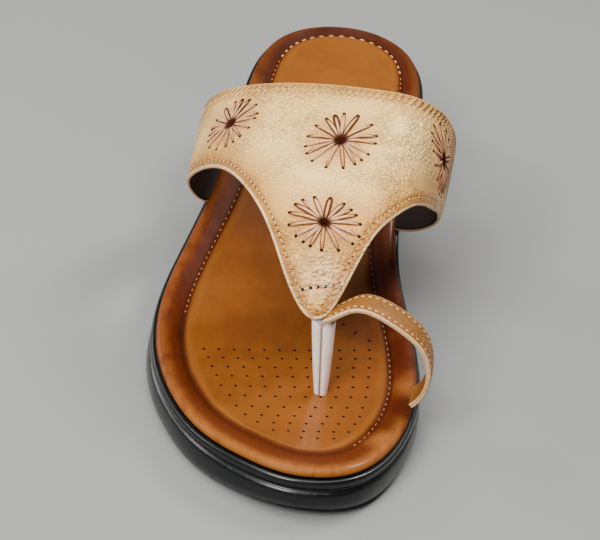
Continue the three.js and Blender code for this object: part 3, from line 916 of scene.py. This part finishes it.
strap = {
    "wall": 1.8,
    "rearAlong": 50.9,  # where the plane of the rear edge meets the floor
    "rearLean": 0.82,  # towards the toe for each millimetre up
    "waistSweep": 0.74,
    "lateralFullness": 0.9,
    "medialFullness": 0.8,
    "crownRear": 20.5,
    "crownTip": 8.5,
    "crownRearEnd": 130,
    "crownTipStart": 201,
    "baseInset": 1.5,
    "baseRise": 0.7,
    "tuck": 3,
    "tuckSweep": 0.12,
    "columns": 260,
    "rows": 86,
}
strapSections = np.array([
    # along, crown height, lateral and medial width, height of the widest place
    (76, 95.5, -41, 46.7, 53),
    (96, 93, -43, 45.8, 50),
    (116, 87, -43.7, 44.5, 44.5),
    (140, 80.5, -44, 41.7, 36),
    (170, 70.7, -40.3, 39.2, 30),
    (186, 61, -38, 37.8, 25.5),
    (202, 40.3, -34.7, 36.1, 20.2),
])
strapFront = np.array([
    # sweep from the lateral base over the crown to the medial base, distance of the front edge from the heel
    (-1, 109.5),
    (-0.86, 116.1),
    (-0.72, 127.7),
    (-0.56, 139.3),
    (-0.4, 152),
    (-0.26, 173),
    (-0.15, 190.4),
    (-0.07, 198.4),
    (0, 200.7),
    (0.06, 195.6),
    (0.13, 183.5),
    (0.22, 172.5),
    (0.34, 161),
    (0.48, 149.8),
    (0.62, 137.5),
    (0.76, 123),
    (0.88, 114.3),
    (1, 109.9),
])
strapAlong, *strapColumns = strapSections.T
strapCurves = [smoothCurve(strapAlong, column) for column in strapColumns]
strapCrown, strapLateral, strapMedial, strapWaist = strapCurves
frontAlong = smoothCurve(*strapFront.T)


def strapSpot(sweep, along):
    sweep, along = np.broadcast_arrays(np.asarray(sweep, float), np.asarray(along, float))
    side = np.where(sweep < 0, -1, 1)
    reach = np.abs(sweep)
    late = np.clip((along - strap["crownRearEnd"]) / (strap["crownTipStart"] - strap["crownRearEnd"]), 0, 1)
    crownAcross = mixed(strap["crownRear"], strap["crownTip"], late)
    wide = np.where(side < 0, strapLateral(along), strapMedial(along))
    waist = strapWaist(along)
    upperTurn = np.clip(reach / strap["waistSweep"], 0, 1) * np.pi / 2
    fullness = np.where(side < 0, strap["lateralFullness"], strap["medialFullness"])
    upperAcross = mixed(crownAcross, wide, np.sin(upperTurn) ** fullness)
    upperUp = mixed(waist, strapCrown(along), np.maximum(0, np.cos(upperTurn)) ** fullness)
    base = edgeAcross(side, turnAt(along)) - side * strap["baseInset"]
    baseUp = edgeHeight(along) + strap["baseRise"]
    lowerTurn = np.clip((reach - strap["waistSweep"]) / (1 - strap["waistSweep"]), 0, 1) * np.pi / 2
    lowerAcross = mixed(base, wide, np.cos(lowerTurn))
    lowerUp = mixed(waist, baseUp, np.sin(lowerTurn))
    tuckAcross = base - side * strap["tuck"] * (reach - 1) / strap["tuckSweep"]
    zones = [reach <= strap["waistSweep"], reach <= 1]
    across = np.select(zones, [upperAcross, lowerAcross], tuckAcross)
    return place(across, along, np.select(zones, [upperUp, lowerUp], baseUp))


def strapSlopes(sweep, along):  # change of place per sweep and per millimetre along
    nudge = 0.004
    over = strapSpot(sweep + nudge, along) - strapSpot(sweep - nudge, along)
    forward = strapSpot(sweep, along + nudge) - strapSpot(sweep, along - nudge)
    return over / (2 * nudge), forward / (2 * nudge)


def strapNormal(sweep, along):
    over, forward = strapSlopes(sweep, along)
    return unit(np.cross(forward, over))


def rearAlong(sweep):  # where the strap meets the leaning plane of its rear edge
    halvings = 24
    low = np.full(np.shape(sweep), strapSections[0, 0])
    high = np.full(np.shape(sweep), strapSections[3, 0])
    for _ in range(halvings):
        along = (low + high) / 2
        before = along < strap["rearAlong"] + strap["rearLean"] * strapSpot(sweep, along)[..., 2]
        low = np.where(before, along, low)
        high = np.where(before, high, along)
    return low


def stepped(sweep, along, wanted):  # moves places on the strap by wanted millimetres in its surface
    steps = 4
    for _ in range(steps):
        over, forward = strapSlopes(sweep, along)
        across = np.sum(over * wanted, -1) / steps
        ahead = np.sum(forward * wanted, -1) / steps
        a, b, c = np.sum(over * over, -1), np.sum(over * forward, -1), np.sum(forward * forward, -1)
        area = a * c - b * b
        sweep = sweep + (c * across - b * ahead) / area
        along = along + (a * ahead - b * across) / area
    return sweep, along


class EdgeLine:  # one edge of the strap, for distances from it and runs beside it
    def __init__(self, sweeps, alongs):
        self.sweeps = sweeps
        self.alongs = alongs
        self.spots = strapSpot(sweeps, alongs)
        self.run = runLength(self.spots)
        self.tree = KDTree(len(self.spots))
        for k, spot in enumerate(self.spots):
            self.tree.insert(spot, k)
        self.tree.balance()

    def nearest(self, spots):
        found = [self.tree.find(spot) for spot in spots.reshape(-1, 3)]
        near = np.array([distance for _, _, distance in found])
        run = self.run[[k for _, k, _ in found]]
        return near.reshape(spots.shape[:-1]), run.reshape(spots.shape[:-1])

    def inset(self, distance):  # a distance below 0 is towards the toe
        ahead = unit(np.gradient(self.spots, axis=0))
        towardsHeel = unit(np.cross(strapNormal(self.sweeps, self.alongs), ahead))
        return stepped(self.sweeps, self.alongs, towardsHeel * distance)


edgeSweeps = np.linspace(-1, 1, 900)
frontLine = EdgeLine(edgeSweeps, frontAlong(edgeSweeps))
rearLine = EdgeLine(edgeSweeps, rearAlong(edgeSweeps))

flowerTable = np.array([
    # sweep, along, reach across, reach ahead, darkness of the painted shade on its petals
    (-0.07, 146.9, 11.1, 12.2, 0.25),
    (-0.047, 179.8, 11, 9.2, 0.1),
    (-0.418, 129.4, 9.9, 9.8, 0.6),
    (0.503, 126, 11.6, 9.6, 0.8),
])
flowerPlaces = flowerTable[:, :2]
flowerReach = flowerTable[:, 2:4]
flowerCentres = strapSpot(*flowerPlaces.T)
flowerOver = strapNormal(*flowerPlaces.T)
flowerHole = {"Radius": 1.8, "Depth": 8}
strapStitch = {"Pitch": 2.35, "Length": 1.6, "Thickness": 0.5, "Rise": 0.1}
stitchInset = {"front": 2.6, "rear": 3.6, "loop": 1.9}
leatherRelief = {
    # height and width of each soft rise or dip in the leather's face
    "frontStitch": (-0.22, 0.8),
    "rearStitch": (-0.22, 0.9),
    "edge": (-0.3, 0.9),
    "flowerRing": (0.3, 3.2),
    "flowerMiddle": (-0.35, 2.6),
    "loopMiddle": (0.12, 2.5),
    "loopStitch": (-0.2, 0.7),
    "loopEdge": (-0.25, 0.7),
}
flowerRing = 6.5  # radius of the rise round a flower's hole
loopMiddleInset = 4.5
foilPatches = np.array([
    # sweep, along, reach in millimetres, strength
    (-0.01, 193, 6.8, 1),
    (0.503, 126, 13, 0.6),
    (-0.047, 179.8, 8, 0.4),
    (-0.07, 146.9, 8, 0.3),
    (-0.418, 129.4, 10, 0.5),
    (0.64, 132, 9, 0.7),
])
# darker, duller bronze patches towards both ends of the strap
dullBronzePatches = np.array([
    # sweep, along, reach in millimetres, strength
    (0.584, 99, 10, 1),
    (0.37, 113, 6, 0.7),
    (0.68, 110, 14, 0.9),
    (0.61, 121, 8, 0.8),
    (-0.64, 103, 15, 0.55),
    (-0.8, 114, 15, 0.5),
])
smoothPatches = np.array([
    # sweep, along, reach in millimetres, strength
    (-0.07, 134, 8, 0.7),
    (-0.1, 163, 9, 0.7),
    (-0.28, 152, 9, 0.8),
    (-0.2, 170, 9, 0.8),
    (0.06, 172, 8, 0.6),
    (-0.56, 128, 8, 0.7),
])


def swell(label, distance):
    height, width = leatherRelief[label]
    return height * hump(distance, width)


def strapRelief(spots):  # how far the leather's face stands over its plain surface
    front, _ = frontLine.nearest(spots)
    rear, _ = rearLine.nearest(spots)
    height = swell("frontStitch", front - stitchInset["front"])
    height += swell("rearStitch", rear - stitchInset["rear"])
    height += swell("edge", np.minimum(front, rear))
    for centre in flowerCentres:
        distance = np.linalg.norm(spots - centre, axis=-1)
        height += swell("flowerRing", distance - flowerRing) + swell("flowerMiddle", distance)
    return height


def onLeather(sweep, along, lift=0.0):  # places on the outside of the strap, and the way out there
    spots = strapSpot(sweep, along)
    normals = strapNormal(sweep, along)
    return spots + normals * (strap["wall"] / 2 + strapRelief(spots) + lift)[..., None], normals


leatherLayer = {
    "top": 0.9,  # from the middle of the wall
    "bottom": -0.4,
    "roundTop": 0.42,
    "roundBottom": 0.2,
    "setBack": 0,
    "backRows": 14,
}
liningLayer = {
    "top": -0.42,
    "bottom": -0.9,
    "roundTop": 0.12,
    "roundBottom": 0.2,
    "setBack": 0.35,  # the lining ends short of the leather
    "backRows": 40,
}
edgeTurns = {"roundTop": (0, 30, 60, 90), "roundBottom": (90, 45, 0)}


def bandShell(name, band, relief, layer, finishes, marks):  # band: places and the way out there
    spots, normals = band
    columns, rows = spots.shape[:2]
    backRows = np.linspace(rows - 1, 0, layer["backRows"]).round().astype(int)[1:-1]
    face = spots + normals * (layer["top"] + relief)[..., None]
    back = spots + normals * layer["bottom"]

    def roundedEdge(end, inner):
        out = unit(spots[:, end] - spots[:, inner])
        edge = spots[:, end] - out * layer["setBack"]
        levels = {"roundTop": layer["top"] + relief[:, end, None], "roundBottom": layer["bottom"]}
        made = []
        for label, turns in edgeTurns.items():
            for turn in np.radians(turns):
                sideways = layer[label] * (math.sin(turn) - 1)
                inwards = layer[label] * (1 - math.cos(turn))
                level = levels[label] - inwards if label == "roundTop" else levels[label] + inwards
                made.append(edge + out * sideways + normals[:, end] * level)
        return np.stack(made, 1)

    front, rear = roundedEdge(rows - 1, rows - 2), roundedEdge(0, 1)[:, ::-1]
    points = np.concatenate([face[:, 1:-1], front, back[:, backRows], rear], 1)
    arc = front.shape[1]
    rowOf = [*range(1, rows - 1), *[rows - 1] * arc, *backRows, *[0] * arc]
    # finishes: 0 for the face, 1 for the cut edges, 2 for the back
    zone = np.array([0] * (rows - 1) + [1] * (arc - 1) + [2] * len(backRows) + [1] * (arc - 1) + [0])
    kinds = np.minimum(np.maximum(zone, np.roll(zone, -1)), len(finishes) - 1)
    faceFinish = [*np.tile(kinds, columns - 1), *[len(finishes) - 1] * 2]
    faces = ringFaces(columns, len(zone)) + endFaces(columns, len(zone))
    carried = {label: values[:, rowOf] for label, values in marks.items()}
    return meshPiece(name, points, faces, finishes, carried, faceFinish)


def strapGrid():
    share = np.linspace(-1, 1, strap["columns"] + 1)
    tucked = 1 + strap["tuckSweep"] * np.array([0.25, 0.6, 1])
    crowded = 0.6 * share + 0.4 * share ** 3  # columns lie closer together over the crown
    sweeps = np.concatenate([-tucked[::-1], crowded, tucked])
    held = np.clip(sweeps, -1, 1)
    rowShare = np.linspace(0, 1, strap["rows"])
    alongs = mixed(rearAlong(held)[:, None], frontAlong(held)[:, None], rowShare)
    return np.repeat(sweeps[:, None], strap["rows"], 1), alongs


def strapPatches(patches, spots):
    return patchesAt(strapSpot(patches[:, 0], patches[:, 1]), patches, spots)


strapLeather = strapLeatherFinish()
lining = liningFinish()
faceFinishes = [strapLeather, cutEdgeFinish(), lining]
strapPlaces = strapGrid()
gridSpots = strapSpot(*strapPlaces)
strapBand = (gridSpots, strapNormal(*strapPlaces))
frontNear, _ = frontLine.nearest(gridSpots)
rearNear, rearRun = rearLine.nearest(gridSpots)
leatherMarks = {
    "edgeNear": np.minimum(frontNear, rearNear + 4),  # less burnished at the rear
    "frontNear": frontNear,
    "rearNear": rearNear,
    "rearRun": rearRun,
    "flowerNear": np.min([np.linalg.norm(gridSpots - centre, axis=-1) for centre in flowerCentres], 0),
    "foil": strapPatches(foilPatches, gridSpots),
    "aged": strapPatches(dullBronzePatches, gridSpots),
    "grain": 1 - strapPatches(smoothPatches, gridSpots),
}
flowerMarks = (flowerCentres, flowerOver)
gridRelief = strapRelief(gridSpots)
strapFace = bandShell("strap_leather", strapBand, gridRelief, leatherLayer, faceFinishes, leatherMarks)
settled(punched(strapFace, flowerMarks, flowerHole), "strap_leather", "upper")
strapBack = bandShell("strap_lining", strapBand, 0 * gridRelief, liningLayer, [lining], {})
settled(punched(strapBack, flowerMarks, flowerHole), "lining")


# toe loop: a band from under the strap's tip over the big toe to the medial edge

toeLoop = {
    "width": 10.6,
    "start": 5,  # along its middle line, as for the stitches
    "stitchStart": 7,
    "stitchEnd": 9,  # before the end under the rim
    "steps": 170,
    "rows": 18,
}
toeLoopRows = np.array([
    # across, along, up, lean of its width towards the medial side
    (7.5, 198.6, 41.2, -0.3),
    (12.8, 199.4, 44.4, -0.3),
    (20.9, 200.4, 50.4, -0.26),
    (33.4, 201.5, 47.7, -0.26),
    (43.9, 201.3, 38.8, -0.08),
    (46.7, 200, 26, -0.04),
    (43.6, 198.2, 16.4, -0.04),
    (41, 197.8, 14.1, -0.04),
    (39, 197.7, 13.8, -0.04),
])
loopSpots = place(*toeLoopRows[:, :3].T)
loopKnots = runLength(loopSpots)
loopEnd = loopKnots[-1]
loopAxes = [smoothCurve(loopKnots, axis) for axis in loopSpots.T]
loopLean = smoothCurve(loopKnots, toeLoopRows[:, 3])


def loopMiddle(at):
    return np.stack([axis(at) for axis in loopAxes], -1)


def loopGrid(at, offsets):  # places at distances along the loop and across its width
    nudge = 0.05
    forward = loopMiddle(at + nudge) - loopMiddle(at - nudge)
    width = unit(np.stack([loopLean(at), -np.ones(len(at)), np.zeros(len(at))], -1))
    normals = unit(np.cross(width, forward))
    spots = loopMiddle(at)[:, None] + width[:, None] * np.asarray(offsets)[None, :, None]
    return spots, np.repeat(normals[:, None], len(offsets), 1)


def loopRelief(edge):  # at a distance from the loop's nearer edge
    seam = swell("loopStitch", edge - stitchInset["loop"])
    return swell("loopMiddle", edge - loopMiddleInset) + seam + swell("loopEdge", edge)


loopAt = np.linspace(toeLoop["start"], loopEnd, toeLoop["steps"])
loopOffsets = np.linspace(-1, 1, toeLoop["rows"]) * toeLoop["width"] / 2
bandEdge = toeLoop["width"] / 2 - np.abs(loopOffsets)
loopBand = loopGrid(loopAt, loopOffsets)
bandRelief = np.tile(loopRelief(bandEdge), (len(loopAt), 1))
loopMarks = {
    "edgeNear": 1.0,
    "frontNear": bandEdge + 0.65,
    "rearNear": 30.0,
    "rearRun": 0.0,
    "flowerNear": 30.0,
    "foil": 0.2 * hump(loopAt - 0.62 * loopEnd, 10)[:, None],
    "aged": 0.74,
    "grain": 0.2,
}
loopMarks = {label: np.broadcast_to(values, bandRelief.shape) for label, values in loopMarks.items()}
loopLayers = {**leatherLayer, "backRows": 8}, {**liningLayer, "backRows": 10}
loopFace = bandShell("toe_loop", loopBand, bandRelief, loopLayers[0], faceFinishes, loopMarks)
settled(loopFace, "strap_leather", "upper")
loopBack = bandShell("toe_loop_lining", loopBand, 0 * bandRelief, loopLayers[1], [strapLeather], loopMarks)
settled(loopBack, "strap_leather")


# stitches and needle holes in the strap and the loop

rearStitch = {**strapStitch, "Length": 2.3, "Thickness": 0.55}
rearSlant = math.radians(35)
strapNeedle = {"Pitch": strapStitch["Pitch"], "Radius": 0.64, "Height": 0.04}
tipRow = {"sweep": (-0.072, 0.042), "along": (195.7, 193.6)}  # the row across the tip


def loopRun(side):
    steps = 160
    at = np.linspace(toeLoop["stitchStart"], loopEnd - toeLoop["stitchEnd"], steps)
    spots, normals = loopGrid(at, [side * (toeLoop["width"] / 2 - stitchInset["loop"])])
    lift = strap["wall"] / 2 + loopRelief(stitchInset["loop"])
    return (spots + normals * lift)[:, 0], normals[:, 0]


def trimmedRun(line, distance):  # leaves out the ends under the rim and loops at the tip
    lastShown = 0.985
    slack = 0.2
    sweeps, alongs = line.inset(distance)
    near, _ = line.nearest(strapSpot(sweeps, alongs))
    shown = (np.abs(line.sweeps) < lastShown) & (near > abs(distance) - slack)
    return onLeather(sweeps[shown], alongs[shown])


tipRun = onLeather(*(np.linspace(*tipRow[label], 30) for label in ("sweep", "along")))
frontRuns = [trimmedRun(frontLine, stitchInset["front"]), tipRun, loopRun(-1), loopRun(1)]
rearRuns = [trimmedRun(rearLine, -stitchInset["rear"])]
strapThread = threadFinish("strapThread", tone(242, 210, 156), tone(204, 150, 86), tone(70, 36, 14), 0.3)
laid("strap_stitches", "thread", stitchRun, frontRuns, strapStitch, strapThread)
laid("rear_stitches", "thread", stitchRun, rearRuns, rearStitch, strapThread, Slant=rearSlant)
laid("needle_holes", "lining", needleRow, frontRuns + rearRuns, strapNeedle, holeShade)


# flowers: each petal is a thread from the hole to a needle hole, with a dark outline under it, painted
# shadow along its sides

petals = np.arange(17)
petalStrip = {"Width": 1.05, "Thickness": 0.55}
petalOutline = {"Width": 1.95, "Thickness": 0.2}
petalNeedle = {"Radius": 0.62, "Height": 0.3}
needleReach = 1.04  # share of a petal's length, as for the threads
uneven = {"turn": 0.26, "length": 0.08, "width": 0.22}  # from petal to petal
threadPath = {
    "innerReach": 0.03,
    "crowding": 1.3,  # points lie closer together towards the hole
    "rest": 0.16,  # height over the leather
    "arch": 0.3,
    "holeDip": 2.6,
    "needleDip": 0.35,
}
outlineEnds = (0.2, 1.05)


def onFlower(number, across, ahead):  # sweep and along of a place in a flower's own plane
    first = unit(np.cross((0, 1, 0), flowerOver[number]))
    second = np.cross(flowerOver[number], first)
    rounds, easing = 12, 0.7
    sweeps, alongs = (np.full(np.shape(across), start) for start in flowerPlaces[number])
    for _ in range(rounds):
        reached = strapSpot(sweeps, alongs) - flowerCentres[number]
        missing = (across - reached @ first)[..., None] * first
        missing = missing + (ahead - reached @ second)[..., None] * second
        sweeps, alongs = stepped(sweeps, alongs, easing * missing)
    return sweeps, alongs


def petalTurns(number):
    return 2 * np.pi * (petals + uneven["turn"] * np.sin(5 * petals + 2 * number)) / len(petals)


def petalRuns(reach, lift):  # one run for each petal; reach is a share of the flower's
    runs = []
    for number, (wide, high) in enumerate(flowerReach):
        turns = petalTurns(number)[:, None]
        lengths = reach * (1 + uneven["length"] * np.sin(7 * petals + 3 * number)[:, None])
        places = onFlower(number, lengths * wide * np.cos(turns), lengths * high * np.sin(turns))
        runs += zip(*onLeather(*places, lift))
    return runs


def petalTaper(share, reach, full):  # slim at the hole, full from a reach on, pointed at the end
    return smoothStep(reach, 0, full) * 0.6 + 0.4 - 0.35 * hump(1 - share, 0.12)


allTurns = np.concatenate([petalTurns(number) for number in range(len(flowerTable))])[:, None]
petalSwell = 1 + uneven["width"] * np.sin(37 * allTurns)
petalDark = np.repeat(flowerTable[:, 4], len(petals))[:, None]
upward = np.sin(allTurns)  # 1 towards the heel, -1 towards the toe
stripShare = np.linspace(0, 1, 18)
stripReach = mixed(threadPath["innerReach"], 1, stripShare ** threadPath["crowding"])
stripLift = threadPath["rest"] + threadPath["arch"] * np.sin(np.pi * stripShare)
stripLift -= threadPath["holeDip"] * hump(stripReach, 0.1)
stripLift -= threadPath["needleDip"] * hump(1 - stripShare, 0.08)
# painted shade where each strip dives into the hole and into its needle hole
stripShade = 1 - smoothStep(stripReach, 0.12, 0.36) + 0.3 * hump(1 - stripShare, 0.14)
# more painted shade on the darker flowers and on petals towards the toe
petalShadow = 0.45 * petalDark + 0.15 * np.maximum(0, -upward)
stripMarks = {
    "taper": petalSwell * petalTaper(stripShare, stripReach, 0.55),
    "shade": np.clip(petalShadow + stripShade, 0, 1),
}
outlineShare = np.linspace(0, 1, 9)
outlineReach = mixed(*outlineEnds, outlineShare)
# painted shade on the outlines: more on the darker flowers and on petals towards the heel
outlineMarks = {
    "taper": (1.8 - petalSwell + 0.2 * upward) * petalTaper(outlineShare, outlineReach, 0.5),
    "shade": np.clip(0.6 * petalDark + 0.65 * upward, 0, 1) + 0 * outlineReach,
}
roseLeather = threadFinish("roseStrip", tone(244, 194, 148), tone(196, 132, 88), tone(60, 21, 8), 0.35)
outlineShadow = threadFinish("petalOutline", tone(150, 92, 52), tone(116, 66, 34), tone(56, 34, 14), 0.0)
stripRuns = petalRuns(stripReach, stripLift)
outlineRuns = petalRuns(outlineReach, 0 * outlineReach)
needleRuns = petalRuns(np.array([needleReach]), np.zeros(1))
laid("flower_strips", "thread", surfaceStrip, stripRuns, petalStrip, roseLeather, stripMarks)
laid("flower_outlines", "lining", surfaceStrip, outlineRuns, petalOutline, outlineShadow, outlineMarks)
laid("flower_needle_holes", "lining", needleSpots, needleRuns, petalNeedle, holeShade)


# toe post: a folded strip with a seam down its front, up to the underside of strap and loop

toePost = {
    "along": 200.4,
    "headAlong": 198.2,
    "footAcross": 12.7,
    "headAcross": 9.3,
    "head": 52,
    "footWidth": 3.1,
    "headWidth": 9,
    "flare": 0.6,  # it widens quickly over its foot
    "depth": 5,
    "seamDepth": 0.6,
    "seamWidth": 0.9,
    "seamShade": 0.35,
    "seamAt": -0.12,
    "footRise": -2.2,
    "clearance": 1.25,  # from the middle of the wall above it
    "firstGuess": 44,  # of its height under the strap
    "sides": 72,
    "steps": 44,
}


def gridSurface(spots):
    columns, rows = spots.shape[:2]
    numbers = np.arange(columns * rows).reshape(columns, rows)
    corners = [numbers[:-1, :-1], numbers[1:, :-1], numbers[1:, 1:], numbers[:-1, 1:]]
    faces = np.stack(corners, -1).reshape(-1, 4)
    return BVHTree.FromPolygons(spots.reshape(-1, 3).tolist(), faces.tolist())


def postCeilings():  # undersides of strap and loop round the tip, each a little past its edges
    sweeps, alongs = np.linspace(-0.5, 0.5, 80), np.linspace(150, 212, 60)
    places = np.meshgrid(sweeps, alongs, indexing="ij")
    under = strapSpot(*places) - strapNormal(*places) * toePost["clearance"]
    loopAlongs, loopAcross = np.linspace(toeLoop["start"] - 1, 40, 60), np.linspace(-14, 14, 12)
    spots, normals = loopGrid(loopAlongs, loopAcross)
    return gridSurface(under), gridSurface(spots - normals * toePost["clearance"])


def postPiece(finish):
    turns = 2 * np.pi * np.arange(toePost["sides"]) / toePost["sides"]
    behind = np.sin(turns) < 0
    foot = float(edgeHeight(toePost["along"])) + toePost["footRise"]
    ceilings = postCeilings()

    def ringAt(up):
        share = (up - foot) / (toePost["head"] - foot)
        across = mixed(toePost["footAcross"], toePost["headAcross"], share)
        flared = np.maximum(share, 0) ** toePost["flare"]
        width = mixed(toePost["footWidth"], toePost["headWidth"], flared) / 2
        offset = (np.cos(turns) - toePost["seamAt"]) * width
        seam = np.where(behind, 0, toePost["seamDepth"] * hump(offset, toePost["seamWidth"]))
        along = mixed(toePost["along"], toePost["headAlong"], share)
        along = along + np.sin(turns) * toePost["depth"] / 2 - seam
        shade = np.where(behind, 0, hump(offset, toePost["seamShade"]))
        return place(across + width * np.cos(turns), along, up), shade

    def headroom(spot):
        lowest = toePost["head"]
        for ceiling in ceilings:
            hit = ceiling.ray_cast(Vector((spot[0], spot[1], foot)), Vector((0, 0, 1)))[0]
            lowest = min(lowest, hit.z if hit else lowest)
        return lowest

    rounds = 4
    top = np.full(toePost["sides"], float(toePost["firstGuess"]))
    for _ in range(rounds):
        top = np.array([headroom(spot) for spot in ringAt(top)[0]])
    shares = np.linspace(0, 1, toePost["steps"] + 1)
    rings, seam = (np.stack(parts) for parts in zip(*(ringAt(mixed(foot, top, share)) for share in shares)))
    faces = ringFaces(*seam.shape) + endFaces(*seam.shape)
    return meshPiece("toe_post_strip", rings, faces, [finish], {"seam": seam})


settled(postPiece(postFinish()), "post_strip", "toe_post")


# floor, light and camera

floorReach = 3.0
floorCorners = [(-floorReach, -floorReach, 0), (floorReach, -floorReach, 0)]
floorCorners += [(floorReach, floorReach, 0), (-floorReach, floorReach, 0)]
floorMesh = bpy.data.meshes.new("floor")
floorMesh.from_pydata(floorCorners, [], [(0, 1, 2, 3)])
paleFloor = {"IOR": 1.3, "Specular IOR Level": 0.2}
floorMesh.materials.append(
    mottledFinish("paleFloor", paleFloor, 180, tone(131, 132, 132), tone(139, 140, 140), 0.75))
linked("floor", floorMesh)

lights = [
    # name, place, size, power, colour
    ("softboxTop", (-0.05, -0.1, 0.97), 0.8, 10, (1, 0.98, 0.95)),
    ("softboxRight", (0.45, 0.4, 0.75), 0.25, 6, (1, 0.98, 0.95)),
    ("softboxFront", (-0.3, -0.68, 0.75), 0.45, 12.5, (1, 0.99, 0.97)),
    ("softboxLeft", (-0.7, 0.05, 0.5), 0.25, 2.5, (1, 0.99, 0.97)),
    ("softboxSide", (-0.78, 0.56, 0.36), 0.3, 2, (1, 0.99, 0.97)),
]
lightAim = Vector((0, 0, 0.03))
for label, spot, size, power, colour in lights:
    lamp = bpy.data.lights.new(label, "AREA")
    lamp.shape = "SQUARE"
    lamp.size = size
    lamp.energy = power
    lamp.color = colour
    softbox = linked(label, lamp)
    softbox.location = spot
    softbox.rotation_mode = "QUATERNION"
    softbox.rotation_quaternion = (lightAim - Vector(spot)).to_track_quat("-Z", "Y")

world = bpy.data.worlds.new("studio")
bpy.context.scene.world = world
world.use_nodes = True
backdrop = world.node_tree.nodes["Background"]
backdrop.inputs["Color"].default_value = (1, 0.98, 0.96, 1)
backdrop.inputs["Strength"].default_value = 0.13

camera = {
    "aim": (-0.96, -12.58, 20),
    "distance": 916.1,
    "azimuth": 1.535,
    "elevation": 32.235,
    "roll": -7.693,
    "lens": 157.9,
}


def photoCamera():
    azimuth, elevation, roll = (math.radians(camera[label]) for label in ("azimuth", "elevation", "roll"))
    level = math.cos(elevation)
    back = Vector((math.sin(azimuth) * level, -math.cos(azimuth) * level, math.sin(elevation)))
    right = (-back).cross(Vector((0, 0, 1))).normalized()
    down = (-back).cross(right)
    rolledRight = right * math.cos(roll) + down * math.sin(roll)
    rolledDown = down * math.cos(roll) - right * math.sin(roll)
    lens = bpy.data.cameras.new("photoCamera")
    lens.lens = camera["lens"]
    lens.sensor_width = 36
    lens.clip_start = 0.05
    made = linked("photoCamera", lens)
    turn = Matrix((rolledRight, -rolledDown, back)).transposed().to_4x4()
    made.matrix_world = Matrix.Translation((Vector(camera["aim"]) + back * camera["distance"]) * mm) @ turn
    return made


bpy.context.scene.camera = photoCamera()
